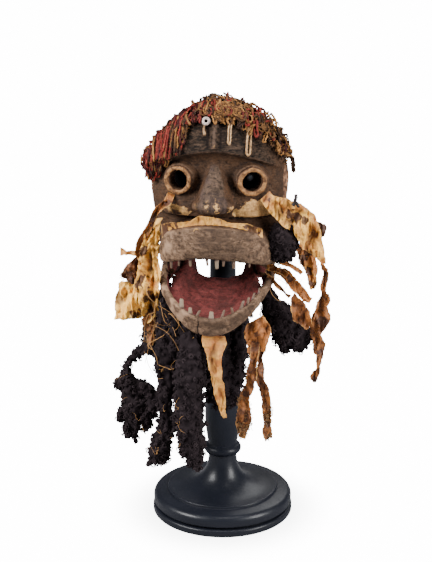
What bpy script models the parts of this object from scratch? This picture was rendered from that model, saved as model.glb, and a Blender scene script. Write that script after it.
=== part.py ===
"""A carved dance mask with fibre, rawhide and wool trimmings, carried by a turned wooden stand.

Metres, +Z up. The origin is the centre of the stand's underside, and the mask looks along -Y.
"""
import math

import bmesh
import bpy
from mathutils import Matrix, Vector

for old in list(bpy.data.objects):
    bpy.data.objects.remove(old, do_unlink=True)

# Fits
GAP = 0.0003  # clearance between pieces that touch
SEAT_GAP = 0.0004  # clearance of a piece that sits on a carved surface

# Turned foot
FOOT_RADIUS = 0.0882
FOOT_RIM_HEIGHT = 0.0095
GROOVE_HEIGHT = 0.0032
GROOVE_DEPTH = 0.006
DISC_RADIUS = 0.0872
DISC_HEIGHT = 0.0145
DISC_ROUND = 0.0075
DISC_SLOPE = 0.0015
STEP_RADIUS = 0.0687
STEP_HEIGHT = 0.0035
FLARE_HEIGHT = 0.0435
FLARE_TOP_RADIUS = 0.0175
FOOT_SIDES = 26

# Turned post
COLLAR_RADIUS = 0.0222
COLLAR_HEIGHT = 0.0125
NECK_RADIUS = 0.0183
COLUMN_RADIUS = 0.0220
COLUMN_SWELL = 0.045  # height of the column's widest point above the collar
POST_RADIUS = 0.0164
POST_TOP_RADIUS = 0.0150
BALL_RADIUS = 0.0660
BALL_HEIGHT = 0.4460  # centre of the ball above the floor
POST_SIDES = 20

# Carved mask: heights are given from the level where the mask is widest
MASK_BELOW_BALL = 0.0095
FLANK_OVER_BALL = 0.0145  # wood beside the ball where the mask is widest
TOP_OVER_BALL = 0.0125  # wood over the ball
RIM_Y = -0.034
FACE_HALF_WIDTH = BALL_RADIUS + FLANK_OVER_BALL
DOME_HEIGHT = BALL_RADIUS + MASK_BELOW_BALL + TOP_OVER_BALL
DOME_POWER = 0.58  # 0.5 is a round dome
JAW_TAPER = 0.020
FACE_DROP = 0.130
FACE_ROUNDNESS = 0.9
FACE_COLUMNS = 27
WALL = 0.011
RIM_WALL = 0.008
SEAT_BITE = 0.0015

# Features of the face
EYE_X = 0.0415
EYE_RISE = 0.0045
EYE_TURN = math.radians(16)
EYE_PROUD = 0.0440  # from the rim to the front of the eye tubes
EYE_TUBE_RADIUS = 0.0205
EYE_TUBE_LENGTH = 0.013
EYE_HOLE_RADIUS = 0.0109
EYE_RING_RADIUS = 0.0180
EYE_SIDES = 24
RING_SIDES = 16
EYE_RING_THICKNESS = 0.0042
EYE_RECESS = 0.005
EYE_RECESS_REACH = 0.026
CHEEK_SWELL = 0.008
CHEEK_SPREAD = 0.024
CHEEK_LOW = -0.0335
NOSE_BRIDGE_HALF = 0.005
NOSE_WING_HALF = 0.0225
NOSE_TOP_RISE = 0.026
NOSE_TIP_RISE = -0.018
NOSE_BASE_RISE = -0.0255
NOSE_WING_DROP = 0.0055
NOSE_PROUD = 0.088  # from the rim to the tip
SCAR_HALF = 0.0032
SCAR_PROUD = 0.0042
SCAR_TOP_RISE = 0.072
SCAR_LOW_RISE = 0.043

# Upper lip, a visor with a crescent front
LIP_HALF_WIDTH = 0.0655
LIP_ROOT = 0.030  # from the rim to the ends of the lip
LIP_REACH = 0.061
LIP_TOP_RISE = -0.0383
LIP_TOP_ARCH = 0.020
LIP_END_DROP = 0.016
LIP_ROOF_RISE = -0.0375
LIP_LOW_RISE = -0.0758
LIP_LOW_ARCH = 0.0170
LIP_THICKNESS = 0.011
LIP_STATIONS = 21

# Lower jaw, a scoop with a thick lip
JAW_HALF_WIDTH = 0.065
JAW_ROOT = 0.033  # from the rim to the corners of the mouth
JAW_REACH = 0.068
JAW_TOP_RISE = -0.1413
JAW_TOP_LIFT = 0.031
JAW_LOW_RISE = -0.1627
JAW_LOW_LIFT = 0.044
JAW_LIP_THICKNESS = 0.007
JAW_FLOOR = 0.009
JAW_BACK = 0.008  # from the rim to the back of the jaw floor
JAW_BACK_HALF = 0.036
JAW_BACK_RISE = -0.1194
JAW_BACK_LIFT = 0.012
JAW_STATIONS = 21
JAW_FLANKS = 2  # stations behind each corner of the mouth

# Trimmings
CROWN_THICKNESS = 0.0108
CROWN_EDGE = 0.55  # thickness left at the hairline, as a share
CROWN_LEAN = 0.2  # thicker at the right, thinner at the left
CROWN_LEFT_RISE = 0.009
CROWN_RIGHT_RISE = 0.024
CROWN_FRONT_RISE = 0.0735
CROWN_TUCK = 0.001
BEAD_RADIUS = 0.0056
BEAD_HOLE_RADIUS = 0.0018
BEAD_THICKNESS = 0.0030
BEAD_X = -0.011
BEAD_RISE = 0.0745
BEAD_PROUD = 0.0092  # from the forehead, in front of the crown's edge
LOOP_CORD_RADIUS = 0.0011
LOOP_HALF_WIDTH = 0.0030
LOOP_PROUD = 0.0024  # from the forehead to the middle of the cord
HIDE_THICKNESS = 0.0032
MOUSTACHE_HEIGHT = 0.0105
MOUSTACHE_THICKNESS = 0.004
MOUSTACHE_SETBACK = 0.007
TIE_WIDTH = 0.007  # where a strip or lock is tied to the carving
TIE_LENGTH = 0.005
TIE_GAP = 0.0012  # the carving is faceted under a tie
LOCK_SIDES = 7
TOOTH_SIDES = 5

FOOT_TOP = (
    FOOT_RIM_HEIGHT + GROOVE_HEIGHT + DISC_HEIGHT + DISC_SLOPE + STEP_HEIGHT + FLARE_HEIGHT
)
POST_FOOT = FOOT_TOP + GAP
FACE_LEVEL = BALL_HEIGHT - MASK_BELOW_BALL

# The face from the crown down: rise, depth in front of the rim, sag at the sides
FACE_ROWS = [
    (0.0870, 0.0080, 0.0000),
    (0.0845, 0.0210, 0.0000),
    (0.0790, 0.0330, 0.0000),
    (0.0715, 0.0420, 0.0010),
    (0.0630, 0.0490, 0.0040),
    (0.0540, 0.0530, 0.0100),
    (0.0455, 0.0555, 0.0180),
    (0.0392, 0.0565, 0.0240),
    (0.0360, 0.0495, 0.0240),
    (0.0290, 0.0465, 0.0190),
    (0.0200, 0.0455, 0.0125),
    (0.0110, 0.0455, 0.0065),
    (0.0020, 0.0455, 0.0010),
    (-0.0070, 0.0465, 0.0000),
    (-0.0150, 0.0480, 0.0000),
    (-0.0230, 0.0495, 0.0000),
    (-0.0320, 0.0500, 0.0000),
    (-0.0350, 0.0420, 0.0000),
    (-0.0400, 0.0425, 0.0120),
    (-0.0480, 0.0430, 0.0260),
    (-0.0560, 0.0440, 0.0420),
    (-0.0640, 0.0440, 0.0600),
]

parts = bpy.data.collections.new("dance_mask")
guides = bpy.data.collections.new("cutters_and_additions")
bpy.context.scene.collection.children.link(parts)
bpy.context.scene.collection.children.link(guides)


def make_material(name, colour, roughness, metallic=0.0):
    """A Principled surface with one colour."""
    material = bpy.data.materials.new(name)
    material.use_nodes = True
    shader = material.node_tree.nodes["Principled BSDF"]
    shader.inputs["Base Color"].default_value = (*colour, 1.0)
    shader.inputs["Roughness"].default_value = roughness
    shader.inputs["Metallic"].default_value = metallic
    return material


BLACK_WOOD = make_material("black_wood", (0.012, 0.013, 0.018), 0.35)
MASK_WOOD = make_material("mask_wood", (0.085, 0.055, 0.036), 0.62)
PALE_RING = make_material("pale_ring", (0.58, 0.36, 0.17), 0.65)
TOOTH = make_material("tooth", (0.46, 0.38, 0.28), 0.55)
DYED_FIBRE = make_material("dyed_fibre", (0.30, 0.11, 0.05), 0.90)
RAWHIDE = make_material("rawhide", (0.52, 0.33, 0.14), 0.70)
WOOL = make_material("wool", (0.020, 0.015, 0.014), 0.95)
SHELL = make_material("shell", (0.72, 0.68, 0.60), 0.40)


def add_object(name, bm, material, collection=parts):
    """Turns a closed bmesh into an object whose faces point out."""
    bmesh.ops.recalc_face_normals(bm, faces=bm.faces)
    mesh = bpy.data.meshes.new(name)
    bm.to_mesh(mesh)
    bm.free()
    mesh.shade_smooth()
    mesh.set_sharp_from_angle(angle=math.radians(40))
    mesh.materials.append(material)
    piece = bpy.data.objects.new(name, mesh)
    collection.objects.link(piece)
    if collection is guides:
        piece.hide_render = True
        piece.display_type = "WIRE"
    return piece


def turned(name, profile, sides, material, collection=parts, closed=False):
    """A piece turned on the lathe, from its profile of radius and height, top to bottom."""
    bm = bmesh.new()
    points = [bm.verts.new((radius, 0.0, height)) for radius, height in profile]
    for a, b in zip(points, points[1:]):
        bm.edges.new((a, b))
    if closed:
        bm.edges.new((points[-1], points[0]))
    mesh = bpy.data.meshes.new(name)
    bm.to_mesh(mesh)
    bm.free()
    mesh.materials.append(material)
    piece = bpy.data.objects.new(name, mesh)
    collection.objects.link(piece)
    screw = piece.modifiers.new("turned", "SCREW")
    screw.axis = "Z"
    screw.steps = sides
    screw.render_steps = sides
    screw.use_merge_vertices = True
    screw.merge_threshold = 0.00005
    screw.use_smooth_shade = True
    if collection is guides:
        piece.hide_render = True
        piece.display_type = "WIRE"
    return piece


def boolean(piece, other, operation):
    """Joins another solid to a piece, or cuts it out."""
    step = piece.modifiers.new(f"{operation.lower()}_{other.name}", "BOOLEAN")
    step.operation = operation
    step.solver = "EXACT"
    step.object = other


def arc(centre, radius, start, end, count):
    """Points of a round stretch in a profile, angles in degrees from +radius."""
    angles = [math.radians(start + (end - start) * k / (count - 1)) for k in range(count)]
    return [(centre[0] + radius * math.cos(a), centre[1] + radius * math.sin(a)) for a in angles]


def loft(sections, bm=None):
    """A closed solid through loops of equally many points, with flat ends."""
    bm = bm or bmesh.new()
    rings = [[bm.verts.new(p) for p in loop] for loop in sections]
    count = len(rings[0])
    for low, high in zip(rings, rings[1:]):
        for i in range(count):
            j = (i + 1) % count
            bm.faces.new((low[i], low[j], high[j], high[i]))
    bm.faces.new(reversed(rings[0]))
    bm.faces.new(rings[-1])
    return bm


def between(a, b, share):
    return a + (b - a) * share


def ease(start, end, value):
    """0 at start, 1 at end, with a smooth way between."""
    share = min(max((value - start) / (end - start), 0.0), 1.0)
    return share * share * (3.0 - 2.0 * share)


def on_quad(a, b, c, d, along=0.5, across=0.5):
    """A place on the face a, b, c, d, and the face's normal."""
    low = a.lerp(b, along)
    high = d.lerp(c, along)
    normal = (c - a).cross(d - b).normalized()
    return low.lerp(high, across), normal


def smooth_path(points, count):
    """Evenly spaced stations on a smooth curve through points, each with its last value."""
    ends = [points[0]] + list(points) + [points[-1]]
    spans = len(points) - 1
    result = []
    for k in range(count):
        place = spans * k / (count - 1)
        i = min(int(place), spans - 1)
        u = place - i
        p0, p1, p2, p3 = ends[i : i + 4]
        value = []
        for w, x, y, z in zip(p0, p1, p2, p3):
            bend = (2 * w - 5 * x + 4 * y - z) * u * u + (3 * x - w - 3 * y + z) * u * u * u
            value.append(0.5 * (2 * x + (y - w) * u + bend))
        result.append(value)
    return result


def build_stand():
    """The turned foot, and the post with its collar and ball."""
    rim_top = FOOT_RIM_HEIGHT
    groove_radius = DISC_RADIUS - GROOVE_DEPTH
    disc_low = rim_top + GROOVE_HEIGHT
    disc_top = disc_low + DISC_HEIGHT
    shoulder = disc_top + DISC_SLOPE
    step_top = shoulder + STEP_HEIGHT
    flare = []
    for k in range(7):
        share = k / 6
        radius = between(FLARE_TOP_RADIUS, STEP_RADIUS - 0.0012, share**2)
        flare.append((radius, step_top + FLARE_HEIGHT * (1 - share) ** 2))
    edge = arc((DISC_RADIUS - DISC_ROUND, disc_top - DISC_ROUND), DISC_ROUND, 80, 0, 4)
    edge_low = 0.0015
    foot = (
        [(0.0, FOOT_TOP)]
        + flare
        + [(STEP_RADIUS, step_top - 0.0012), (STEP_RADIUS, shoulder)]
        + edge
        + [
            (DISC_RADIUS - 0.0005, disc_low),
            (groove_radius, disc_low),
            (groove_radius, rim_top),
            (FOOT_RADIUS - edge_low, rim_top),
            (FOOT_RADIUS, rim_top - 2 * edge_low),
            (FOOT_RADIUS, 2 * edge_low),
            (FOOT_RADIUS - edge_low, 0.0),
            (0.0, 0.0),
        ]
    )
    turned("stand_foot", foot, FOOT_SIDES, BLACK_WOOD)

    collar_top = POST_FOOT + COLLAR_HEIGHT
    swell = collar_top + COLUMN_SWELL
    joint_angle = -90 + math.degrees(math.asin(POST_TOP_RADIUS / BALL_RADIUS))
    ball = arc((0.0, BALL_HEIGHT), BALL_RADIUS, 90, joint_angle, 12)
    ball[0] = (0.0, BALL_HEIGHT + BALL_RADIUS)
    under_ball = BALL_HEIGHT - BALL_RADIUS
    half_collar = COLLAR_HEIGHT / 2
    collar = arc((COLLAR_RADIUS - half_collar * 0.8, POST_FOOT + half_collar), half_collar, 62, -62, 5)
    post = (
        ball
        + [
            (POST_TOP_RADIUS, under_ball - 0.006),
            (POST_RADIUS, between(swell, under_ball, 0.62)),
            (between(POST_RADIUS, COLUMN_RADIUS, 0.5), between(swell, under_ball, 0.30)),
            (COLUMN_RADIUS, swell),
            (between(NECK_RADIUS, COLUMN_RADIUS, 0.72), between(collar_top, swell, 0.45)),
            (NECK_RADIUS, collar_top + 0.001),
        ]
        + collar
        + [(FLARE_TOP_RADIUS, POST_FOOT), (0.0, POST_FOOT)]
    )
    turned("stand_post", post, POST_SIDES, BLACK_WOOD)


def half_width(rise):
    """Half the width of the mask at a height from its widest level."""
    if rise > 0:
        return FACE_HALF_WIDTH * max(1 - (rise / DOME_HEIGHT) ** 2, 0.0) ** DOME_POWER
    return FACE_HALF_WIDTH - JAW_TAPER * (-rise / FACE_DROP) ** 1.3


def relief(x, rise):
    """How far the cheeks stand out and the eye sockets lie back."""
    socket = (abs(x) - EYE_X) ** 2 + (rise - EYE_RISE) ** 2
    depth = -EYE_RECESS * math.exp(-socket / EYE_RECESS_REACH**2)
    if rise > CHEEK_LOW:
        sideways = math.exp(-(((abs(x) - EYE_X) / CHEEK_SPREAD) ** 2))
        depth += CHEEK_SWELL * sideways * ease(0.002, -0.020, rise)
    return depth


def face_point(angle, rise, depth, sag):
    """A point of the carved front, angle 0 in the middle and 90 degrees at the rim."""
    rise = rise - sag * math.sin(angle) ** 2
    x = half_width(rise) * math.sin(angle)
    forward = max(math.cos(angle), 0.0) ** FACE_ROUNDNESS
    y = RIM_Y - (depth + relief(x, rise)) * forward
    return Vector((x, y, FACE_LEVEL + rise))


def face_angles():
    return [math.radians(-90 + 180 * i / (FACE_COLUMNS - 1)) for i in range(FACE_COLUMNS)]


def face_grid():
    """The carved front, row by row from the crown down."""
    return [[face_point(angle, *row) for angle in face_angles()] for row in FACE_ROWS]


def hollow_grid():
    """The smooth hollow behind the face, with one point behind each of the front."""
    seat_height = math.sqrt(BALL_RADIUS**2 - RIM_Y**2) + MASK_BELOW_BALL - SEAT_BITE
    depth = FACE_ROWS[12][1] - WALL
    grid = []
    for rise, _, sag in FACE_ROWS:
        row = []
        for angle in face_angles():
            height = rise - sag * math.sin(angle) ** 2
            round_off = 1.0
            half = half_width(height) - RIM_WALL
            if height > 0:
                round_off = math.sqrt(1 - (height / DOME_HEIGHT) ** 2)
                half = (FACE_HALF_WIDTH - RIM_WALL) * round_off
                height *= seat_height / DOME_HEIGHT
            forward = max(math.cos(angle), 0.0) ** FACE_ROUNDNESS
            y = RIM_Y - depth * round_off * forward
            row.append(Vector((half * math.sin(angle), y, FACE_LEVEL + height)))
        grid.append(row)
    return grid


def shell_solid(front, back):
    """A closed wall between a front grid and a back grid of the same size."""
    bm = bmesh.new()
    outer = [[bm.verts.new(p) for p in row] for row in front]
    inner = [[bm.verts.new(p) for p in row] for row in back]
    rows = len(outer)
    columns = len(outer[0])
    for grid in (outer, inner):
        for k in range(rows - 1):
            for i in range(columns - 1):
                corners = (grid[k][i], grid[k][i + 1], grid[k + 1][i + 1], grid[k + 1][i])
                bm.faces.new(corners)
        bm.faces.new(grid[0])
    for k in range(rows - 1):
        for i in (0, -1):
            bm.faces.new((outer[k][i], outer[k + 1][i], inner[k + 1][i], inner[k][i]))
    for i in range(columns - 1):
        bm.faces.new((outer[-1][i], outer[-1][i + 1], inner[-1][i + 1], inner[-1][i]))
    bm.faces.new((outer[0][0], outer[0][-1], inner[0][-1], inner[0][0]))
    return bm


def front_depth(rise):
    """Depth of the face in the middle at a height, read between its rows."""
    for upper, lower in zip(FACE_ROWS, FACE_ROWS[1:]):
        if rise >= lower[0]:
            share = (upper[0] - rise) / (upper[0] - lower[0])
            return between(upper[1], lower[1], share)
    return FACE_ROWS[-1][1]


def on_forehead(x, rise, proud):
    """A point in front of the forehead at a place across and up, standing proud of it."""
    angle = math.asin(x / half_width(rise))
    place = face_point(angle, rise, front_depth(rise), 0.0)
    above = face_point(angle, rise + 0.004, front_depth(rise + 0.004), 0.0)
    aside = face_point(angle + 0.05, rise, front_depth(rise), 0.0)
    normal = (aside - place).cross(above - place).normalized()
    return place + normal * proud


def nose_sections():
    """Level sections of the nose, from the bridge down to its flat underside."""
    root_y = RIM_Y - FACE_ROWS[12][1] + 0.005
    sections = []
    count = 8
    for k in range(count):
        share = k / (count - 2)
        rise = between(NOSE_TOP_RISE, NOSE_TIP_RISE, share)
        half = between(NOSE_BRIDGE_HALF, NOSE_WING_HALF, share**1.9)
        tip_y = RIM_Y - between(front_depth(NOSE_TOP_RISE) + 0.001, NOSE_PROUD, share**1.15)
        drop = 0.0
        if k == count - 1:
            rise = NOSE_BASE_RISE
            half = NOSE_WING_HALF * 0.96
            tip_y = RIM_Y - NOSE_PROUD + 0.006
            drop = NOSE_WING_DROP
        outline = [(-1, 0.0), (-1, 0.30), (-0.80, 0.58), (-0.38, 0.92), (0, 1.0)]
        outline += [(-a, b) for a, b in reversed(outline[:-1])]
        loop = []
        for a, b in outline:
            z = FACE_LEVEL + rise - drop * (1 - b)
            loop.append(Vector((half * a, between(root_y, tip_y, b), z)))
        sections.append(loop)
    return sections


def scar_sections():
    """The raised ridge down the middle of the forehead."""
    sections = []
    count = 7
    for k in range(count):
        rise = between(SCAR_TOP_RISE, SCAR_LOW_RISE, k / (count - 1))
        y = RIM_Y - front_depth(rise)
        z = FACE_LEVEL + rise
        proud = SCAR_PROUD * (0.35 if k == 0 else 1.0)
        outline = [(-1.5, 0.004), (-1, -proud * 0.55), (0, -proud), (1, -proud * 0.55), (1.5, 0.004)]
        sections.append([Vector((SCAR_HALF * a, y + b, z)) for a, b in outline])
    return sections


def mid_wall(angle, rise):
    """A place inside the face's wall."""
    half = half_width(rise) - RIM_WALL / 2
    depth = FACE_ROWS[-1][1] - WALL / 2
    return half * math.sin(angle), RIM_Y - depth * math.cos(angle) ** FACE_ROUNDNESS


def lip_sections():
    """Sections of the upper lip from its left end to its right end, front edge first."""
    sections = []
    for k in range(LIP_STATIONS):
        angle = math.radians(-90 + 180 * k / (LIP_STATIONS - 1))
        spread = math.sin(angle) ** 2
        top = FACE_LEVEL + LIP_TOP_RISE - LIP_TOP_ARCH * spread - LIP_END_DROP * spread**6
        low = FACE_LEVEL + LIP_LOW_RISE - LIP_LOW_ARCH * spread
        front_y = RIM_Y - LIP_ROOT - LIP_REACH * math.cos(angle)
        front = Vector((LIP_HALF_WIDTH * math.sin(angle), front_y))
        root = Vector(mid_wall(0.75 * angle, LIP_LOW_RISE))
        inward = (root - front).normalized()
        tall = top - low

        def place(distance, height):
            spot = front + inward * distance
            return Vector((spot.x, spot.y, height))

        reach = (root - front).length
        lip = min(LIP_THICKNESS, 0.8 * reach)
        sections.append(
            [
                place(0.0, top),
                place(-0.0018, (top + low) / 2),
                place(0.0, low + 0.12 * tall),
                place(0.0025, low),
                place(lip, low + 0.0005),
                place(lip + 0.1 * (reach - lip), low + 0.45 * tall),
                place(reach, low + 0.60 * tall),
                place(reach, FACE_LEVEL + LIP_ROOF_RISE - 0.6 * LIP_TOP_ARCH * spread),
            ]
        )
    return sections


def jaw_section(x, y_low, y_top, side, low, top, back):
    """One section of the jaw: lip front, lip top, floor, then the underside."""
    outer = Vector((x, y_low, low))
    swell = Vector((x + 0.0008 * side, y_top - 0.0012, (low + top) / 2))
    front = Vector((x - 0.002 * side, y_top, top))
    inner = Vector((back.x, back.y, top)) - front
    inward = Vector((inner.x, inner.y, 0.0)).normalized()
    crest = front + inward * JAW_LIP_THICKNESS
    trough = front + inward * (JAW_LIP_THICKNESS + 0.004) - Vector((0, 0, 0.0065))
    floor = trough.lerp(back, 0.5) - Vector((0, 0, 0.002))
    under_back = back - Vector((0, 0, JAW_FLOOR))
    under = outer.lerp(under_back, 0.5) - Vector((0, 0, 0.004))
    return [outer, swell, front, crest, trough, floor, back, under_back, under]


def jaw_sections():
    """Sections of the lower jaw, from the left cheek round the chin to the right cheek."""
    sections = []
    corner_y = RIM_Y - JAW_ROOT
    back_y = RIM_Y - JAW_BACK
    for k in range(JAW_STATIONS):
        angle = math.radians(-90 + 180 * k / (JAW_STATIONS - 1))
        side = math.sin(angle)
        ahead = math.cos(angle)
        spread = side**2
        back = Vector(
            (
                JAW_BACK_HALF * side,
                back_y,
                FACE_LEVEL + JAW_BACK_RISE + JAW_BACK_LIFT * spread,
            )
        )
        sections.append(
            jaw_section(
                JAW_HALF_WIDTH * side,
                corner_y - (JAW_REACH - 0.002) * ahead,
                corner_y - (JAW_REACH + 0.002) * ahead,
                side,
                FACE_LEVEL + JAW_LOW_RISE + JAW_LOW_LIFT * spread,
                FACE_LEVEL + JAW_TOP_RISE + JAW_TOP_LIFT * spread,
                back,
            )
        )
    low = FACE_LEVEL + JAW_LOW_RISE + JAW_LOW_LIFT - 0.004
    top = FACE_LEVEL + JAW_TOP_RISE + JAW_TOP_LIFT + 0.015
    for y, inset in ((corner_y + 0.013, 0.006), (corner_y + 0.026, 0.010)):
        for side in (-1, 1):
            back_z = FACE_LEVEL + JAW_BACK_RISE + JAW_BACK_LIFT + 0.003
            back = Vector((side * (JAW_BACK_HALF + inset), max(y, back_y) + 0.003, back_z))
            section = jaw_section(side * (JAW_HALF_WIDTH + 0.0005), y, y, side, low, top, back)
            if side < 0:
                sections.insert(0, section)
            else:
                sections.append(section)
    return sections


def eye_frame(side, distance=0.0):
    """Turns +Z to look out of an eye, from a point that far in front of the eye tube's end."""
    outward = Vector((side * math.sin(EYE_TURN), -math.cos(EYE_TURN), 0.0))
    centre = Vector((side * EYE_X, RIM_Y - EYE_PROUD, FACE_LEVEL + EYE_RISE))
    turn = outward.to_track_quat("Z", "Y").to_matrix().to_4x4()
    return Matrix.Translation(centre + outward * distance) @ turn


def build_mask():
    """The carving: the face with its nose, lip, jaw and eye tubes in one piece of wood."""
    mask = add_object("mask_face", shell_solid(face_grid(), hollow_grid()), MASK_WOOD)
    additions = {
        "nose": nose_sections(),
        "scar": scar_sections(),
        "upper_lip": lip_sections(),
        "lower_jaw": jaw_sections(),
    }
    for name, sections in additions.items():
        boolean(mask, add_object(f"add_{name}", loft(sections), MASK_WOOD, guides), "UNION")
    for side, word in ((-1, "left"), (1, "right")):
        foot_radius = EYE_TUBE_RADIUS + 0.001
        tube = turned(
            f"add_eye_tube_{word}",
            [
                (0.0, 0.0),
                (EYE_TUBE_RADIUS - 0.001, 0.0),
                (EYE_TUBE_RADIUS, -0.001),
                (foot_radius, -EYE_TUBE_LENGTH),
                (0.0, -EYE_TUBE_LENGTH),
            ],
            EYE_SIDES,
            MASK_WOOD,
            guides,
        )
        tube.matrix_world = eye_frame(side)
        boolean(mask, tube, "UNION")
    for side, word in ((-1, "left"), (1, "right")):
        depth = 0.06
        hole = turned(
            f"cut_eye_{word}",
            [(0.0, depth), (EYE_HOLE_RADIUS, depth), (EYE_HOLE_RADIUS, -depth), (0.0, -depth)],
            EYE_SIDES,
            MASK_WOOD,
            guides,
        )
        hole.matrix_world = eye_frame(side)
        boolean(mask, hole, "DIFFERENCE")
    ball = arc((0.0, BALL_HEIGHT), BALL_RADIUS + GAP, 90, -90, 14)
    ball[0] = (0.0, BALL_HEIGHT + BALL_RADIUS + GAP)
    ball[-1] = (0.0, BALL_HEIGHT - BALL_RADIUS - GAP)
    seat = turned("cut_ball_seat", ball, POST_SIDES, MASK_WOOD, guides)
    boolean(mask, seat, "DIFFERENCE")


def build_eye_rings():
    """The pale rings round the eye holes."""
    rounding = 0.0012
    for side, word in ((-1, "left"), (1, "right")):
        ring = turned(
            f"eye_ring_{word}",
            [
                (EYE_HOLE_RADIUS + rounding, EYE_RING_THICKNESS),
                (EYE_RING_RADIUS - rounding, EYE_RING_THICKNESS),
                (EYE_RING_RADIUS, EYE_RING_THICKNESS - rounding),
                (EYE_RING_RADIUS, 0.0),
                (EYE_HOLE_RADIUS, 0.0),
                (EYE_HOLE_RADIUS, EYE_RING_THICKNESS - rounding),
            ],
            RING_SIDES,
            PALE_RING,
            closed=True,
        )
        ring.matrix_world = eye_frame(side, GAP)


def peg(name, seat, normal, length, width, lean, material):
    """A small tapered tooth that stands on its seat."""
    turn = normal.to_track_quat("Z", "Y").to_matrix()
    sections = []
    for share, girth in ((0.0, 1.0), (0.6, 0.85), (1.0, 0.45)):
        loop = []
        for k in range(TOOTH_SIDES):
            angle = math.tau * k / TOOTH_SIDES
            flat = Vector((math.cos(angle), 0.75 * math.sin(angle), 0.0)) * width / 2 * girth
            shift = Vector((lean * share * share * length, 0.0, share * length))
            loop.append(seat + normal * SEAT_GAP + turn @ (flat + shift))
        sections.append(loop)
    add_object(name, loft(sections), material)


def build_teeth():
    """Pegs of wood and bone along both lips, some of them broken short."""
    upper = lip_sections()
    # degrees round the lip, length, width
    upper_teeth = [
        (-49, 0.007, 0.0030),
        (-36, 0.006, 0.0026),
        (-22, 0.007, 0.0030),
        (-4, 0.007, 0.0028),
        (6, 0.010, 0.0042),
        (13, 0.007, 0.0030),
        (23, 0.008, 0.0034),
        (41, 0.004, 0.0026),
    ]
    for n, (degrees, length, width) in enumerate(upper_teeth, 1):
        k, along = divmod((degrees + 90) * (LIP_STATIONS - 1) / 180, 1)
        k = int(k)
        seat, normal = on_quad(upper[k][3], upper[k + 1][3], upper[k + 1][4], upper[k][4], along, 0.45)
        down = normal if normal.z < 0 else -normal
        peg(f"tooth_upper_{n}", seat, down, length, width, 0.05, TOOTH)
    lower = jaw_sections()
    lower_teeth = [
        (-31, 0.010, 0.0048),
        (-21, 0.008, 0.0038),
        (-14, 0.006, 0.0034),
        (2, 0.008, 0.0052),
        (14, 0.008, 0.0028),
        (24, 0.007, 0.0030),
        (33, 0.009, 0.0036),
        (41, 0.007, 0.0030),
        (49, 0.007, 0.0030),
        (58, 0.005, 0.0028),
    ]
    for n, (degrees, length, width) in enumerate(lower_teeth, 1):
        k, along = divmod((degrees + 90) * (JAW_STATIONS - 1) / 180, 1)
        k = int(k) + JAW_FLANKS
        seat, normal = on_quad(lower[k][2], lower[k + 1][2], lower[k + 1][3], lower[k][3], along, 0.5)
        up = normal if normal.z > 0 else -normal
        peg(f"tooth_lower_{n}", seat, up, length, width, -0.08, TOOTH)


def hairline(angle):
    """Height of the crown's lower edge at an angle round the face."""
    right = ease(-1.0, 1.0, math.sin(angle))
    side = between(CROWN_LEFT_RISE, CROWN_RIGHT_RISE, right)
    return between(side, CROWN_FRONT_RISE, ease(between(0.42, 0.10, right), 0.95, math.cos(angle)))


def column_point(angle, rise):
    """A point of the carved front at a height on one of its columns."""
    column = [face_point(angle, *row) for row in FACE_ROWS]
    height = FACE_LEVEL + rise
    for upper, lower in zip(column, column[1:]):
        if height >= lower.z:
            share = (upper.z - height) / (upper.z - lower.z)
            return upper.lerp(lower, min(max(share, 0.0), 1.0))
    return column[-1]


def outward_normal(point):
    """The way out from the middle of the dome."""
    x = point.x / FACE_HALF_WIDTH**2
    y = (point.y - RIM_Y) / FACE_ROWS[7][1] ** 2
    z = max(point.z - FACE_LEVEL, 0.0) / DOME_HEIGHT**2
    return Vector((x, y, z)).normalized()


def build_crown():
    """The thick band of knotted fibre that caps the forehead, the top and the sides."""
    columns = 23
    rows = 6
    top = FACE_ROWS[0][0]
    outer = []
    inner = []
    for j in range(rows):
        share = j / (rows - 1)
        outer_row = []
        inner_row = []
        for i in range(columns):
            angle = math.radians(-90 + 180 * i / (columns - 1))
            point = column_point(angle, between(top, hairline(angle), share))
            normal = outward_normal(point)
            if j == 0:
                normal = (normal + Vector((0, 0, 2.0))).normalized()
            thin = 1 - (1 - CROWN_EDGE) * share**3
            lean = 1 + CROWN_LEAN * math.sin(angle)
            lumps = 1 + 0.07 * math.sin(9 * angle) * math.sin(7 * share + 2 * angle)
            outer_row.append(point + normal * CROWN_THICKNESS * thin * lean * lumps)
            inner_row.append(point - normal * CROWN_TUCK)
        outer.append(outer_row)
        inner.append(inner_row)
    crown = add_object("fibre_crown", shell_solid(outer, inner), DYED_FIBRE)

    front = []
    back = []
    for row in face_grid():
        pushed = [point + outward_normal(point) * GAP for point in row]
        ends = [Vector((p.x, RIM_Y + 0.01, p.z)) for p in (pushed[0], pushed[-1])]
        front.append([ends[0]] + pushed + [ends[1]])
        back.append([Vector((0.8 * p.x, RIM_Y + 0.02, p.z - 0.01)) for p in front[-1]])
    boolean(crown, add_object("cut_crown_seat", shell_solid(front, back), DYED_FIBRE, guides), "DIFFERENCE")


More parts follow.
